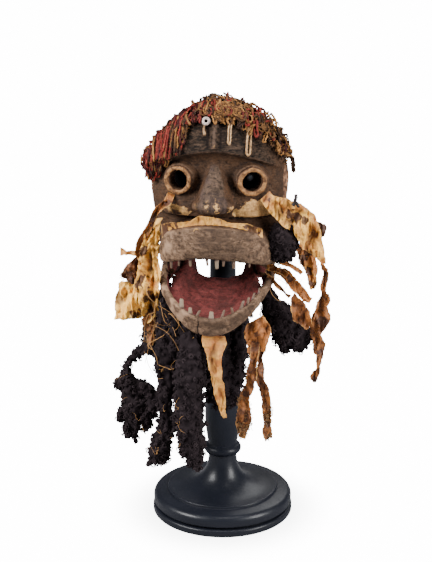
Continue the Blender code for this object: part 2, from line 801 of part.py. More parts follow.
def build_forehead_ornaments():
    """A ring bead at the hairline, and two loops that hang on the forehead."""
    centre = on_forehead(BEAD_X, BEAD_RISE, BEAD_PROUD)
    ahead = on_forehead(BEAD_X, BEAD_RISE, BEAD_PROUD + 0.01) - centre
    rounding = 0.0009
    bead = turned(
        "forehead_bead",
        [
            (BEAD_HOLE_RADIUS, BEAD_THICKNESS - rounding),
            (BEAD_HOLE_RADIUS + rounding, BEAD_THICKNESS),
            (BEAD_RADIUS - rounding, BEAD_THICKNESS),
            (BEAD_RADIUS, BEAD_THICKNESS - rounding),
            (BEAD_RADIUS, 0.0),
            (BEAD_HOLE_RADIUS, 0.0),
        ],
        10,
        SHELL,
        closed=True,
    )
    bead.matrix_world = Matrix.Translation(centre) @ ahead.to_track_quat("Z", "Y").to_matrix().to_4x4()

    stations = 12
    sides = 4
    for word, x, top, length in (("left", 0.0165, 0.0705, 0.022), ("right", 0.0370, 0.0600, 0.0180)):
        bm = bmesh.new()
        rings = []
        for k in range(stations):
            turn = math.tau * k / stations
            across = Vector((math.cos(turn), 0.0, math.sin(turn)))
            place_x = x + LOOP_HALF_WIDTH * math.cos(turn)
            rise = top - length / 2 + length / 2 * math.sin(turn)
            middle = on_forehead(place_x, rise, LOOP_PROUD)
            out = on_forehead(place_x, rise, LOOP_PROUD + 0.01) - middle
            out.normalize()
            ring = []
            for s in range(sides):
                angle = math.tau * s / sides
                offset = across * math.cos(angle) + out * math.sin(angle)
                ring.append(bm.verts.new(middle + offset * LOOP_CORD_RADIUS))
            rings.append(ring)
        for k in range(stations):
            low, high = rings[k], rings[(k + 1) % stations]
            for s in range(sides):
                t = (s + 1) % sides
                bm.faces.new((low[s], low[t], high[t], high[s]))
        add_object(f"pendant_loop_{word}", bm, RAWHIDE)


def build_moustache():
    """The strip of hide that lies along the top of the upper lip."""
    lip = lip_sections()
    sections = []
    for k in range(4, LIP_STATIONS - 4):
        front, back = lip[k][0], lip[k][7]
        way = (back - front).normalized()
        low_front = front + way * MOUSTACHE_SETBACK + Vector((0, 0, SEAT_GAP))
        low_back = low_front + way * MOUSTACHE_THICKNESS
        ends = min(k - 3, LIP_STATIONS - 4 - k)
        tall = MOUSTACHE_HEIGHT * (0.55 + 0.45 * min(ends / 4, 1.0))
        up = Vector((0, 0, tall))
        sections.append([low_front, low_back, low_back + up, low_front + up])
    add_object("moustache_hide", loft(sections), RAWHIDE)


def hanging_path(seat, normal, points, count):
    """A smooth path straight out of a seat, then through points given from the rim and eye level."""
    level = FACE_LEVEL + EYE_RISE
    start = seat + normal * TIE_GAP
    ahead = start + normal * TIE_LENGTH
    way = [(*start, TIE_WIDTH), (*ahead, TIE_WIDTH)]
    way += [(x, RIM_Y + y, level + drop, width) for x, y, drop, width in points]
    return smooth_path(way, count)


def strap(name, seat, normal, points, count, facing, ripple=0.0):
    """A strip of hide: each point has x, y, the height from eye level, and the width."""
    path = hanging_path(seat, normal, points, count)
    places = [Vector(p[:3]) for p in path]
    sections = []
    for k, place in enumerate(places):
        ahead = (places[min(k + 1, count - 1)] - places[max(k - 1, 0)]).normalized()
        if k == 0:
            ahead = normal
        across = ahead.cross(facing).normalized()
        out = across.cross(ahead).normalized()
        wave = ripple * math.sin(2.4 * k) * min(k / 3, 1.0)
        side = across * path[k][3] / 2
        thick = out * HIDE_THICKNESS / 2
        middle = place + out * wave
        left, right = middle - side, middle + side
        sections.append([left - thick, right - thick, right + thick, left + thick])
    add_object(name, loft(sections), RAWHIDE)


def lock(name, seat, normal, points, count):
    """A lock of wool: each point has x, y, the height from eye level, and the thickness."""
    path = hanging_path(seat, normal, points, count)
    places = [Vector(p[:3]) for p in path]
    side = normal.orthogonal().normalized()
    sections = []
    for k, place in enumerate(places):
        ahead = (places[min(k + 1, count - 1)] - places[max(k - 1, 0)]).normalized()
        if k == 0:
            ahead = normal
        side = (side - ahead * side.dot(ahead)).normalized()
        other = ahead.cross(side)
        girth = max(path[k][3], 0.003) / 2
        if k == count - 1:
            girth *= 0.6
        loop = []
        for s in range(LOCK_SIDES):
            angle = math.tau * s / LOCK_SIDES
            lump = 1.0 if k == 0 else 1 + 0.10 * math.sin(2.3 * k + 2 * angle)
            loop.append(place + (side * math.cos(angle) + other * math.sin(angle)) * girth * lump)
        sections.append(loop)
    add_object(name, loft(sections), WOOL)


def outer_seat(angle_degrees, rise):
    """A place on the carved front, and its way out, at an angle round the face."""
    angle = math.radians(angle_degrees)
    place = column_point(angle, rise)
    above = column_point(angle, rise + 0.003)
    aside = column_point(angle + 0.04, rise)
    return place, (aside - place).cross(above - place).normalized()


def under_jaw(sections, degrees, share):
    """A place under the jaw, and the way down from it."""
    middle = (len(sections) - 1) / 2
    station = middle + degrees / (180 / (JAW_STATIONS - 1))
    k = int(station)
    a, b = sections[k], sections[k + 1]
    if share < 0.5:
        place, normal = on_quad(a[0], b[0], b[8], a[8], station - k, share * 2)
    else:
        place, normal = on_quad(a[8], b[8], b[7], a[7], station - k, share * 2 - 1)
    return place, normal if normal.z < 0 else -normal


def jaw_side(sections, side, along):
    """A place on the jaw's flank behind the mouth corner, and the way out sideways."""
    a, b = (sections[-3], sections[-2]) if side > 0 else (sections[2], sections[1])
    place, normal = on_quad(a[1], b[1], b[2], a[2], along, 0.5)
    return place, normal if normal.x * side > 0 else -normal


def build_hides():
    """Strips of rawhide that hang from both cheeks and from under the chin."""
    ahead = Vector((0, -1, 0))
    jaw = jaw_sections()
    strap(
        "hide_left",
        *outer_seat(-47, -0.0155),
        [
            (-0.0595, -0.050, -0.0257, 0.013),
            (-0.0700, -0.044, -0.0494, 0.017),
            (-0.0770, -0.040, -0.073, 0.022),
            (-0.0795, -0.04, -0.0908, 0.026),
            (-0.0823, -0.044, -0.1105, 0.028),
            (-0.0823, -0.046, -0.1332, 0.026),
            (-0.0823, -0.048, -0.1579, 0.022),
            (-0.0812, -0.044, -0.1816, 0.013),
            (-0.0822, -0.042, -0.2033, 0.007),
        ],
        15,
        ahead,
        0.0015,
    )
    strap(
        "hide_left_flap",
        *outer_seat(-80, -0.088),
        [
            (-0.0871, -0.018, -0.0928, 0.014),
            (-0.1009, -0.024, -0.1135, 0.022),
            (-0.1069, -0.028, -0.1352, 0.027),
            (-0.1108, -0.03, -0.155, 0.029),
            (-0.1118, -0.032, -0.1737, 0.025),
        ],
        9,
        ahead,
        0.0012,
    )
    strap(
        "hide_right",
        *outer_seat(44, -0.0155),
        [
            (0.0724, -0.048, -0.0257, 0.027),
            (0.0901, -0.04, -0.0424, 0.035),
            (0.1049, -0.036, -0.0602, 0.035),
            (0.1148, -0.038, -0.0799, 0.026),
            (0.1217, -0.038, -0.0977, 0.01),
            (0.1256, -0.034, -0.1244, 0.01),
            (0.1266, -0.032, -0.148, 0.014),
            (0.1236, -0.032, -0.1737, 0.014),
            (0.1207, -0.032, -0.2013, 0.01),
            (0.1187, -0.032, -0.225, 0.009),
            (0.1177, -0.032, -0.2448, 0.005),
        ],
        17,
        ahead,
        0.0015,
    )
    strap(
        "hide_right_brown",
        *outer_seat(82, -0.084),
        [
            (0.0901, -0.003, -0.0869, 0.012),
            (0.1000, -0.004, -0.0977, 0.016),
            (0.1079, -0.006, -0.1135, 0.019),
            (0.1138, -0.010, -0.1283, 0.012),
        ],
        8,
        ahead,
    )
    strap(
        "hide_right_loop",
        *jaw_side(jaw, 1, 0.4),
        [
            (0.0823, -0.036, -0.1125, 0.009),
            (0.0931, -0.044, -0.1263, 0.012),
            (0.101, -0.048, -0.1441, 0.014),
            (0.1099, -0.048, -0.1638, 0.01),
            (0.1148, -0.046, -0.1777, 0.006),
        ],
        9,
        ahead,
    )
    strap(
        "hide_chin_pale",
        *under_jaw(jaw, 5, 0.09),
        [
            (0.0084, -0.096, -0.1836, 0.023),
            (0.0113, -0.098, -0.1994, 0.017),
            (0.0133, -0.097, -0.2162, 0.017),
            (0.0153, -0.096, -0.2339, 0.014),
            (0.0173, -0.094, -0.2527, 0.007),
            (0.0192, -0.092, -0.2675, 0.002),
        ],
        9,
        ahead,
    )
    strap(
        "hide_chin_fork_left",
        *under_jaw(jaw, 42, 0.10),
        [
            (0.0488, -0.076, -0.1658, 0.022),
            (0.0458, -0.076, -0.1875, 0.013),
            (0.0448, -0.074, -0.2112, 0.012),
            (0.0429, -0.072, -0.2349, 0.014),
            (0.0389, -0.072, -0.2546, 0.014),
            (0.037, -0.072, -0.2773, 0.018),
            (0.0399, -0.072, -0.2971, 0.009),
        ],
        12,
        ahead,
    )
    strap(
        "hide_chin_fork_right",
        *under_jaw(jaw, 62, 0.08),
        [
            (0.0626, -0.066, -0.1658, 0.013),
            (0.0606, -0.066, -0.1875, 0.01),
            (0.0606, -0.068, -0.2152, 0.009),
            (0.0636, -0.068, -0.2398, 0.011),
            (0.0645, -0.068, -0.2625, 0.014),
            (0.0636, -0.068, -0.2823, 0.011),
            (0.0655, -0.068, -0.2991, 0.006),
        ],
        12,
        ahead,
    )


def build_locks():
    """Thick locks of dark wool under the jaw, and a tuft at the right corner of the mouth."""
    jaw = jaw_sections()
    lock(
        "wool_long",
        *under_jaw(jaw, -25, 0.16),
        [
            (-0.0241, -0.084, -0.1875, 0.027),
            (-0.0231, -0.088, -0.2073, 0.032),
            (-0.0241, -0.088, -0.2329, 0.033),
            (-0.0261, -0.086, -0.2586, 0.033),
            (-0.0261, -0.085, -0.2823, 0.033),
            (-0.0241, -0.084, -0.302, 0.03),
            (-0.0212, -0.083, -0.3208, 0.023),
            (-0.0152, -0.082, -0.3376, 0.012),
        ],
        12,
    )
    lock(
        "wool_middle",
        *under_jaw(jaw, 0, 0.42),
        [
            (0.0025, -0.06, -0.1777, 0.028),
            (0.0035, -0.06, -0.2033, 0.031),
            (0.0054, -0.06, -0.229, 0.031),
            (0.0074, -0.06, -0.2527, 0.025),
            (0.0104, -0.06, -0.2714, 0.012),
        ],
        9,
    )
    lock(
        "wool_middle_right",
        *under_jaw(jaw, 38, 0.50),
        [
            (0.0301, -0.044, -0.1777, 0.022),
            (0.0271, -0.044, -0.2053, 0.021),
            (0.0251, -0.044, -0.229, 0.019),
            (0.0222, -0.044, -0.2527, 0.016),
            (0.0202, -0.044, -0.2734, 0.009),
        ],
        8,
    )
    lock(
        "wool_left_middle",
        *under_jaw(jaw, -58, 0.12),
        [
            (-0.0537, -0.06, -0.1678, 0.021),
            (-0.0556, -0.06, -0.1925, 0.024),
            (-0.0576, -0.06, -0.2171, 0.021),
            (-0.0586, -0.06, -0.2467, 0.017),
            (-0.0576, -0.06, -0.2714, 0.016),
            (-0.0576, -0.06, -0.2941, 0.018),
            (-0.0615, -0.06, -0.3139, 0.024),
            (-0.0704, -0.06, -0.3316, 0.023),
            (-0.0783, -0.06, -0.3445, 0.014),
        ],
        13,
    )
    lock(
        "wool_left",
        *under_jaw(jaw, -86, 0.20),
        [
            (-0.0655, -0.024, -0.1579, 0.02),
            (-0.0724, -0.02, -0.1875, 0.03),
            (-0.0783, -0.022, -0.2073, 0.022),
            (-0.0931, -0.026, -0.2152, 0.011),
            (-0.1059, -0.03, -0.229, 0.01),
            (-0.1088, -0.032, -0.2428, 0.014),
            (-0.1, -0.034, -0.2586, 0.04),
            (-0.094, -0.036, -0.2803, 0.05),
            (-0.097, -0.036, -0.302, 0.036),
            (-0.096, -0.036, -0.3257, 0.01),
        ],
        16,
    )
    lock(
        "wool_right",
        *under_jaw(jaw, 84, 0.30),
        [
            (0.0665, -0.02, -0.154, 0.024),
            (0.0744, -0.018, -0.1698, 0.036),
            (0.0852, -0.018, -0.1836, 0.046),
            (0.0931, -0.02, -0.1974, 0.032),
            (0.0961, -0.022, -0.2092, 0.013),
        ],
        9,
    )
    lock(
        "wool_tuft",
        *outer_seat(70, -0.0560),
        [
            (0.0824, -0.022, -0.0632, 0.018),
            (0.0843, -0.020, -0.0711, 0.024),
            (0.0853, -0.022, -0.0829, 0.024),
            (0.0843, -0.030, -0.0915, 0.01),
        ],
        8,
    )


build_stand()
build_mask()
build_eye_rings()
build_teeth()
build_crown()
build_forehead_ornaments()
build_moustache()
build_hides()
build_locks()
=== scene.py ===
import math

import bmesh
import bpy
import numpy as np
from mathutils import Matrix, Vector, noise


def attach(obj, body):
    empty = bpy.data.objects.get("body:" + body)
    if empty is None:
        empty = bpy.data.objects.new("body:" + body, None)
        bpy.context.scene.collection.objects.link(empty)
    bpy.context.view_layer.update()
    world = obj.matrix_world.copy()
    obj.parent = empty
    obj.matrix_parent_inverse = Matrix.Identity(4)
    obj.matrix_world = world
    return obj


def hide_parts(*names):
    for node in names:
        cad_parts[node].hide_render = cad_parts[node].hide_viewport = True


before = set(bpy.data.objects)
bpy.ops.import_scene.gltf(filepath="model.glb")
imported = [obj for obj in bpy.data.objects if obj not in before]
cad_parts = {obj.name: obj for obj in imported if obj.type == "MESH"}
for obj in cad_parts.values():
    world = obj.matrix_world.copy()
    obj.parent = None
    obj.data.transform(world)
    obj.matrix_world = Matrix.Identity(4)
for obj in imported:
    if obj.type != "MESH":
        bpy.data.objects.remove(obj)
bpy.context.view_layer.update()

# The camera stands a little above the mask, turned a few degrees to its left.
VIEW_TURN = math.radians(6.8)
VIEW_PITCH = math.radians(16.5)
VIEW_DISTANCE = 1.665
VIEW_ACROSS = -0.0083
VIEW_UP = 0.2878
FOCAL_LENGTH = 83.27

turn_cos, turn_sin = math.cos(VIEW_TURN), math.sin(VIEW_TURN)
pitch_cos, pitch_sin = math.cos(VIEW_PITCH), math.sin(VIEW_PITCH)
view_right = Vector((turn_cos, turn_sin, 0.0))
view_back = Vector((turn_sin * pitch_cos, -turn_cos * pitch_cos, pitch_sin))
view_up = view_back.cross(view_right)


def placed(name, data):
    """An object of the scene from its data."""
    thing = bpy.data.objects.new(name, data)
    bpy.context.scene.collection.objects.link(thing)
    return thing


lens = bpy.data.cameras.new("view_camera")
lens.lens = FOCAL_LENGTH
lens.sensor_width = 36
lens.clip_end = 30
camera = placed("view_camera", lens)
camera.matrix_world = Matrix.Translation(
    view_back * VIEW_DISTANCE + view_right * VIEW_ACROSS + view_up * VIEW_UP
) @ Matrix((view_right, view_up, view_back)).transposed().to_4x4()
bpy.context.scene.camera = camera


# The turned stand: a foot of stacked discs under a flared neck, and a post with a collar, a
# swelling column and a ball that fills the mask's hollow. Hardwood, turned, stained black, waxed.
FOOT_RADIUS = 0.0882
FOOT_RIM_HEIGHT = 0.0095
RIM_ROUND = 0.003
BASE_ROUND = 0.0022
GROOVE_HEIGHT = 0.0032
GROOVE_DEPTH = 0.006
DISC_RADIUS = 0.0872
DISC_HEIGHT = 0.0145
DISC_ROUND = 0.0075
DISC_SLOPE = 0.0015
STEP_RADIUS = 0.0687
STEP_ROUND = 0.0012
STEP_HEIGHT = 0.0035
FLARE_HEIGHT = 0.0435
FLARE_TOP_RADIUS = 0.0175
COLLAR_RADIUS = 0.0222
COLLAR_HEIGHT = 0.0125
NECK_RADIUS = 0.0183
COLUMN_RADIUS = 0.022
COLUMN_SWELL = 0.045
POST_RADIUS = 0.0164
POST_TOP_RADIUS = 0.015
BALL_RADIUS = 0.066
BALL_HEIGHT = 0.446
POST_GAP = 0.0003
DULL_ABOVE = 0.385  # the ball is left dull
# painted highlight on the ball
PAINTED_HIGHLIGHT_SPOT = (0.0376, -0.054, 0.4404)  # where the ball shows in the right eye hole
LATHE_SIDES = 144
TURNED_EDGE = 32  # degrees, above which a turned edge looks sharp
NOWHERE = 9.0  # farther off than any part of the object


class Tone:
    """A value in a finish: sums on it add the nodes that work them out."""

    def __init__(self, finish, socket):
        self.finish = finish
        self.socket = socket

    def sum(self, operation, first, second):
        return self.finish.node("ShaderNodeMath", {"operation": operation}, {0: first, 1: second})

    def __add__(self, other):
        return self.sum("ADD", self, other)

    def __radd__(self, other):
        return self.sum("ADD", other, self)

    def __sub__(self, other):
        return self.sum("SUBTRACT", self, other)

    def __rsub__(self, other):
        return self.sum("SUBTRACT", other, self)

    def __mul__(self, other):
        return self.sum("MULTIPLY", self, other)

    def __rmul__(self, other):
        return self.sum("MULTIPLY", other, self)


class Finish:
    """A material under construction."""

    def __init__(self, name):
        self.material = bpy.data.materials.new(name)
        self.material.use_nodes = True
        self.tree = self.material.node_tree
        self.tree.nodes.clear()
        self.surface = self.tree.nodes.new("ShaderNodeBsdfPrincipled")
        end = self.tree.nodes.new("ShaderNodeOutputMaterial")
        self.tree.links.new(self.surface.outputs[0], end.inputs["Surface"])
        self.place = self.node("ShaderNodeTexCoord", out="Object")

    def join(self, value, socket):
        if isinstance(value, Tone):
            self.tree.links.new(value.socket, socket)
        elif isinstance(value, tuple) and len(value) == 3 and len(socket.default_value) == 4:
            socket.default_value = (*value, 1.0)
        else:
            socket.default_value = value

    def node(self, kind, settings=None, sockets=None, out=0):
        made = self.tree.nodes.new(kind)
        for name, value in (settings or {}).items():
            setattr(made, name, value)
        for name, value in (sockets or {}).items():
            self.join(value, made.inputs[name])
        return Tone(self, made.outputs[out])

    def stretched(self, scale, turn=(0.0, 0.0, 0.0)):
        return self.node(
            "ShaderNodeMapping", None, {"Vector": self.place, "Rotation": turn, "Scale": scale}
        )

    def grain(self, scale, detail=4.0, rough=0.55, warp=0.0, vector=None):
        sockets = {
            "Vector": vector or self.place, "Scale": scale, "Detail": detail, "Roughness": rough,
            "Distortion": warp,
        }
        return self.node("ShaderNodeTexNoise", None, sockets, "Fac")

    def cells(self, scale):
        return self.node("ShaderNodeTexVoronoi", None, {"Vector": self.place, "Scale": scale}, "Distance")

    def step(self, value, low, high):
        sockets = {"Value": value, "From Min": low, "From Max": high}
        return self.node("ShaderNodeMapRange", {"interpolation_type": "SMOOTHSTEP"}, sockets)

    def painted(self, name):
        return self.node("ShaderNodeAttribute", {"attribute_name": name}, None, "Fac")

    def blend(self, share, first, second):
        made = self.tree.nodes.new("ShaderNodeMix")
        made.data_type = "RGBA"
        made.clamp_factor = True
        self.join(share, made.inputs[0])
        self.join(first, made.inputs[6])
        self.join(second, made.inputs[7])
        return Tone(self, made.outputs[2])

    def over(self, colour, mask, low, high, tint, share=1.0):
        """The colour under a tint, which covers it where the mask goes from low to high."""
        return self.blend(self.step(mask, low, high) * share, colour, tint)

    def bump(self, height, distance):
        return self.node("ShaderNodeBump", None, {"Height": height, "Distance": distance, "Strength": 1.0})

    def set(self, **sockets):
        for name, value in sockets.items():
            self.join(value, self.surface.inputs[name.replace("_", " ")])
        return self.material


def piece_of(name, points, faces, material, sharp=None):
    """A mesh object at the origin from its points and faces."""
    mesh = bpy.data.meshes.new(name)
    mesh.from_pydata([tuple(p) for p in points], [], faces)
    mesh.validate()
    mesh.shade_smooth()
    if sharp:
        mesh.set_sharp_from_angle(angle=math.radians(sharp))
    mesh.materials.append(material)
    return placed(name, mesh)


def settle(piece, slot, *nodes):
    """The piece rides with the object and stands for its CAD nodes; the slot is not used."""
    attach(piece, "root")
    if nodes:
        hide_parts(*nodes)


def arc(centre, radius, start, end, count):
    angles = np.radians(np.linspace(start, end, count))
    return [(centre[0] + radius * math.cos(a), centre[1] + radius * math.sin(a)) for a in angles]


def lathe(name, profile, sides, material):
    """A closed turned solid from its profile of radius and height, top to bottom."""
    points = []
    faces = []
    rings = []
    for radius, height in profile:
        if radius < 1e-6:
            rings.append([len(points)] * sides)
            points.append((0.0, 0.0, height))
        else:
            rings.append([len(points) + k for k in range(sides)])
            angles = [math.tau * k / sides for k in range(sides)]
            points += [(radius * math.cos(a), radius * math.sin(a), height) for a in angles]
    for upper, lower in zip(rings, rings[1:]):
        for k in range(sides):
            n = (k + 1) % sides
            corners = []
            for corner in (upper[k], lower[k], lower[n], upper[n]):
                if corner not in corners:
                    corners.append(corner)
            faces.append(corners)
    return piece_of(name, points, faces, material, sharp=TURNED_EDGE)


def stand_finish(name, sheen, dull_above=NOWHERE, highlight_spot=(NOWHERE, NOWHERE, NOWHERE)):
    """Black stained wood: dull above a height, with a highlight painted at one place."""
    mix = Finish(name)
    tool = mix.grain(900, 3, 0.6, vector=mix.stretched((0.06, 0.06, 1.0)))
    pores = mix.grain(420, 5, 0.65, vector=mix.stretched((1.0, 1.0, 0.1)))
    smear = mix.grain(26, 5, 0.6)
    dust = mix.step(mix.grain(1500, 2, 0.5), 0.7, 0.78) * mix.step(smear, 0.45, 0.7)
    worn = mix.step(mix.grain(70, 6, 0.7), 0.62, 0.8)
    colour = mix.blend(smear, (0.0048, 0.0055, 0.0086), (0.0088, 0.0101, 0.0156))
    colour = mix.blend(worn * 0.35, colour, (0.03, 0.026, 0.026))
    colour = mix.blend(dust * 0.3, colour, (0.16, 0.16, 0.17))
    level = mix.node("ShaderNodeSeparateXYZ", None, {"Vector": mix.place}, "Z")
    dull = mix.step(level, dull_above, dull_above + 0.02)
    away = mix.node(
        "ShaderNodeVectorMath", {"operation": "DISTANCE"}, {0: mix.place, 1: highlight_spot}, "Value"
    )
    # painted highlight: the ball is painted pale blue round one spot, where it shows in the right eye hole
    colour = mix.over(colour, away, 0.005, 0.0008, (0.7, 0.8, 0.95))
    rough = 0.25 + 0.14 * smear + 0.1 * pores + 0.25 * dust + 0.5 * dull
    height = 0.55 * tool + 0.3 * pores + 0.35 * mix.grain(60, 3, 0.5)
    return mix.set(
        Base_Color=colour,
        Roughness=rough,
        Normal=mix.bump(height, 0.00022),
        Specular_IOR_Level=sheen,
        Coat_Weight=0.25 * sheen,
        Coat_Roughness=0.22,
    )


black_wood = stand_finish("waxed_black_foot", 0.2)
groove_radius = DISC_RADIUS - GROOVE_DEPTH
disc_low = FOOT_RIM_HEIGHT + GROOVE_HEIGHT
disc_top = disc_low + DISC_HEIGHT
shoulder = disc_top + DISC_SLOPE
step_top = shoulder + STEP_HEIGHT
foot_top = step_top + FLARE_HEIGHT
flare = []
for share in np.linspace(0, 1, 26):
    radius = FLARE_TOP_RADIUS + (STEP_RADIUS - STEP_ROUND - FLARE_TOP_RADIUS) * share**2
    flare.append((radius, step_top + FLARE_HEIGHT * (1 - share) ** 2))
foot_profile = [(0.0, foot_top)] + flare
foot_profile += arc((STEP_RADIUS - STEP_ROUND, step_top - STEP_ROUND), STEP_ROUND, 80, 0, 5)
foot_profile += [(STEP_RADIUS + 0.0002, shoulder + 0.0006), (STEP_RADIUS + 0.001, shoulder)]
foot_profile += [(STEP_RADIUS + 0.006, shoulder - 0.0004)]
foot_profile += arc((DISC_RADIUS - DISC_ROUND, disc_top - DISC_ROUND), DISC_ROUND, 86, 0, 14)
foot_profile += [(DISC_RADIUS - 0.0002, disc_low + 0.001), (DISC_RADIUS - 0.001, disc_low)]
foot_profile += [(groove_radius, disc_low), (groove_radius, FOOT_RIM_HEIGHT)]
foot_profile += arc((FOOT_RADIUS - RIM_ROUND, FOOT_RIM_HEIGHT - RIM_ROUND), RIM_ROUND, 88, 0, 8)
foot_profile += arc((FOOT_RADIUS - BASE_ROUND, BASE_ROUND), BASE_ROUND, 0, -90, 6) + [(0.0, 0.0)]
stand_foot = lathe("turned_foot", foot_profile, LATHE_SIDES, black_wood)
settle(stand_foot, "black_wood", "stand_foot")

post_foot = foot_top + POST_GAP
collar_top = post_foot + COLLAR_HEIGHT
swell = collar_top + COLUMN_SWELL
under_ball = BALL_HEIGHT - BALL_RADIUS
joint_angle = -90 + math.degrees(math.asin(POST_TOP_RADIUS / BALL_RADIUS))
half_collar = COLLAR_HEIGHT / 2
post_profile = [(0.0, BALL_HEIGHT + BALL_RADIUS)]
post_profile += arc((0.0, BALL_HEIGHT), BALL_RADIUS, 88, joint_angle, 60)
column_places = [
    (under_ball - 0.006, POST_TOP_RADIUS),
    (swell + (under_ball - swell) * 0.62, POST_RADIUS),
    (swell + (under_ball - swell) * 0.3, (POST_RADIUS + COLUMN_RADIUS) / 2 + 0.0002),
    (swell, COLUMN_RADIUS),
    (collar_top + COLUMN_SWELL * 0.45, NECK_RADIUS + (COLUMN_RADIUS - NECK_RADIUS) * 0.72),
    (collar_top + 0.001, NECK_RADIUS),
]


def eased(places, count):
    """Stations on a smooth curve through places, whose first value goes down evenly."""
    spots = np.array(places, float)
    padded = np.vstack([2 * spots[0] - spots[1], spots, 2 * spots[-1] - spots[-2]])
    result = []
    spans = len(spots) - 1
    for place in np.linspace(0, spans, count):
        i = min(int(place), spans - 1)
        u = place - i
        p0, p1, p2, p3 = padded[i : i + 4]
        bend = (2 * p0 - 5 * p1 + 4 * p2 - p3) * u * u + (3 * p1 - p0 - 3 * p2 + p3) * u**3
        result.append(0.5 * (2 * p1 + (p2 - p0) * u + bend))
    return np.array(result)


post_profile += [(radius, height) for height, radius in eased(column_places, 44)]
post_profile += arc((COLLAR_RADIUS - half_collar * 0.8, post_foot + half_collar), half_collar, 66, -66, 16)
post_profile += [(FLARE_TOP_RADIUS, post_foot), (0.0, post_foot)]
stand_post = lathe(
    "turned_post", post_profile, LATHE_SIDES, stand_finish("black_post", 0.14, DULL_ABOVE, PAINTED_HIGHLIGHT_SPOT)
)
settle(stand_post, "black_wood", "stand_post")


# The mask: one carving in dark wood, with a hollow back, round eye tubes, a wedge nose, a deep
# upper lip and a scoop of a jaw. The wood is smoked and handled, pale where it is rubbed, and the
# mouth is painted red inside.
MASK_BELOW_BALL = 0.0095
FACE_LEVEL = BALL_HEIGHT - MASK_BELOW_BALL
RIM_Y = -0.034
FACE_HALF_WIDTH = 0.0805
DOME_HEIGHT = 0.088
DOME_POWER = 0.58
JAW_TAPER = 0.02
FACE_DROP = 0.13
FACE_ROUNDNESS = 0.9
WALL = 0.011
RIM_WALL = 0.008
EYE_X = 0.0415
EYE_RISE = 0.0045
EYE_LEVEL = FACE_LEVEL + EYE_RISE
EYE_TURN = math.radians(16)
EYE_PROUD = 0.044
EYE_HOLE_RADIUS = 0.0113
DRILL_REACH = 0.06
SEAT_GAP = 0.0006
NOSTRIL_RADIUS = 0.0034
TUBE_SIDES = 48
NOSE_BRIDGE_HALF = 0.005
NOSE_WING_HALF = 0.0225
NOSE_TOP_RISE = 0.026
NOSE_BASE_RISE = -0.0255
NOSE_PROUD = 0.088
SCAR_TOP_RISE = 0.072
SCAR_LOW_RISE = 0.043
LIP_HALF_WIDTH = 0.0655
LIP_ROOT = 0.03
LIP_REACH = 0.061
LIP_TOP_RISE = -0.0383
LIP_TOP_ARCH = 0.02
LIP_END_DROP = 0.016
LIP_ROOF_RISE = -0.0375
LIP_LOW_RISE = -0.0758
LIP_LOW_ARCH = 0.017
LIP_THICKNESS = 0.011
JAW_HALF_WIDTH = 0.065
JAW_ROOT = 0.033
JAW_REACH = 0.068
JAW_TOP_RISE = -0.1413
JAW_TOP_LIFT = 0.031
JAW_LOW_RISE = -0.1627
JAW_LOW_LIFT = 0.044
JAW_LIP_THICKNESS = 0.008
JAW_FLOOR = 0.009
JAW_BACK = 0.008
JAW_BACK_HALF = 0.036
JAW_BACK_RISE = -0.1194
JAW_BACK_LIFT = 0.012
CHEEK_WALL = 0.026  # how far the mouth's side walls rise at the corners
SWELL = 0.00055
DENT_DEPTH = 0.0003
GOUGE_DEPTH = 0.00034
LIP_GOUGE_DEPTH = 0.00018  # added on the lips
CHIP_DEPTH = 0.0009
SPLIT_DEPTH = 0.0011
CARVING_GRAIN = 0.00132  # the finest form that the carving keeps
# height of a row, its depth before the rim of the mask, and how far it sags at the sides
FACE_ROWS = np.array(
    [
        (0.087, 0.008, 0.0), (0.0845, 0.021, 0.0), (0.079, 0.033, 0.0), (0.0715, 0.042, 0.001),
        (0.063, 0.049, 0.004), (0.054, 0.053, 0.01), (0.0455, 0.0555, 0.018), (0.0392, 0.0565, 0.024),
        (0.036, 0.0495, 0.024), (0.029, 0.0465, 0.019), (0.02, 0.0455, 0.0125), (0.011, 0.0455, 0.0065),
        (0.002, 0.0455, 0.001), (-0.007, 0.0465, 0.0), (-0.015, 0.048, 0.0), (-0.023, 0.0495, 0.0),
        (-0.035, 0.05, 0.0), (-0.038, 0.042, 0.0), (-0.042, 0.0425, 0.012), (-0.048, 0.043, 0.026),
        (-0.056, 0.044, 0.042), (-0.064, 0.044, 0.06),
    ]
)


def between(a, b, share):
    return a + (b - a) * share


def ease(start, end, value):
    share = np.clip((value - start) / (end - start), 0.0, 1.0)
    return share * share * (3.0 - 2.0 * share)


def fade(start, end, value):
    return float(ease(start, end, value))


def bell(value, width):
    return np.exp(-((value / width) ** 2))


def half_width(rise):
    dome = FACE_HALF_WIDTH * np.maximum(1 - (rise / DOME_HEIGHT) ** 2, 0.0) ** DOME_POWER
    low = FACE_HALF_WIDTH - JAW_TAPER * (np.maximum(-rise, 0.0) / FACE_DROP) ** 1.3
    return np.where(rise > 0, dome, low)


def relief(x, rise):
    """Eye sockets lie back, cheeks puff out above the slit, and folds run beside the nose."""
    socket = (np.abs(x) - EYE_X) ** 2 + (rise - EYE_RISE) ** 2
    depth = -0.0052 * np.exp(-socket / 0.0265**2)
    cheek = bell(np.abs(x) - 0.043, 0.025) * ease(-0.0385, -0.0355, rise)
    depth = depth + 0.0085 * cheek * ease(0.0, -0.021, rise) * (1 - 0.25 * ease(-0.025, -0.037, rise))
    crease = bell(np.abs(x) - 0.0225 + 0.3 * (rise + 0.03), 0.0032) * ease(-0.006, -0.016, rise)
    return depth - 0.0016 * crease * ease(-0.036, -0.033, rise)


def face_point(angle, rise, depth, sag):
    rise = rise - sag * np.sin(angle) ** 2
    x = half_width(rise) * np.sin(angle)
    forward = np.maximum(np.cos(angle), 0.0) ** FACE_ROUNDNESS
    y = RIM_Y - (depth + relief(x, rise)) * forward
    return np.stack([x, y + 0 * rise, FACE_LEVEL + rise + 0 * x], -1)


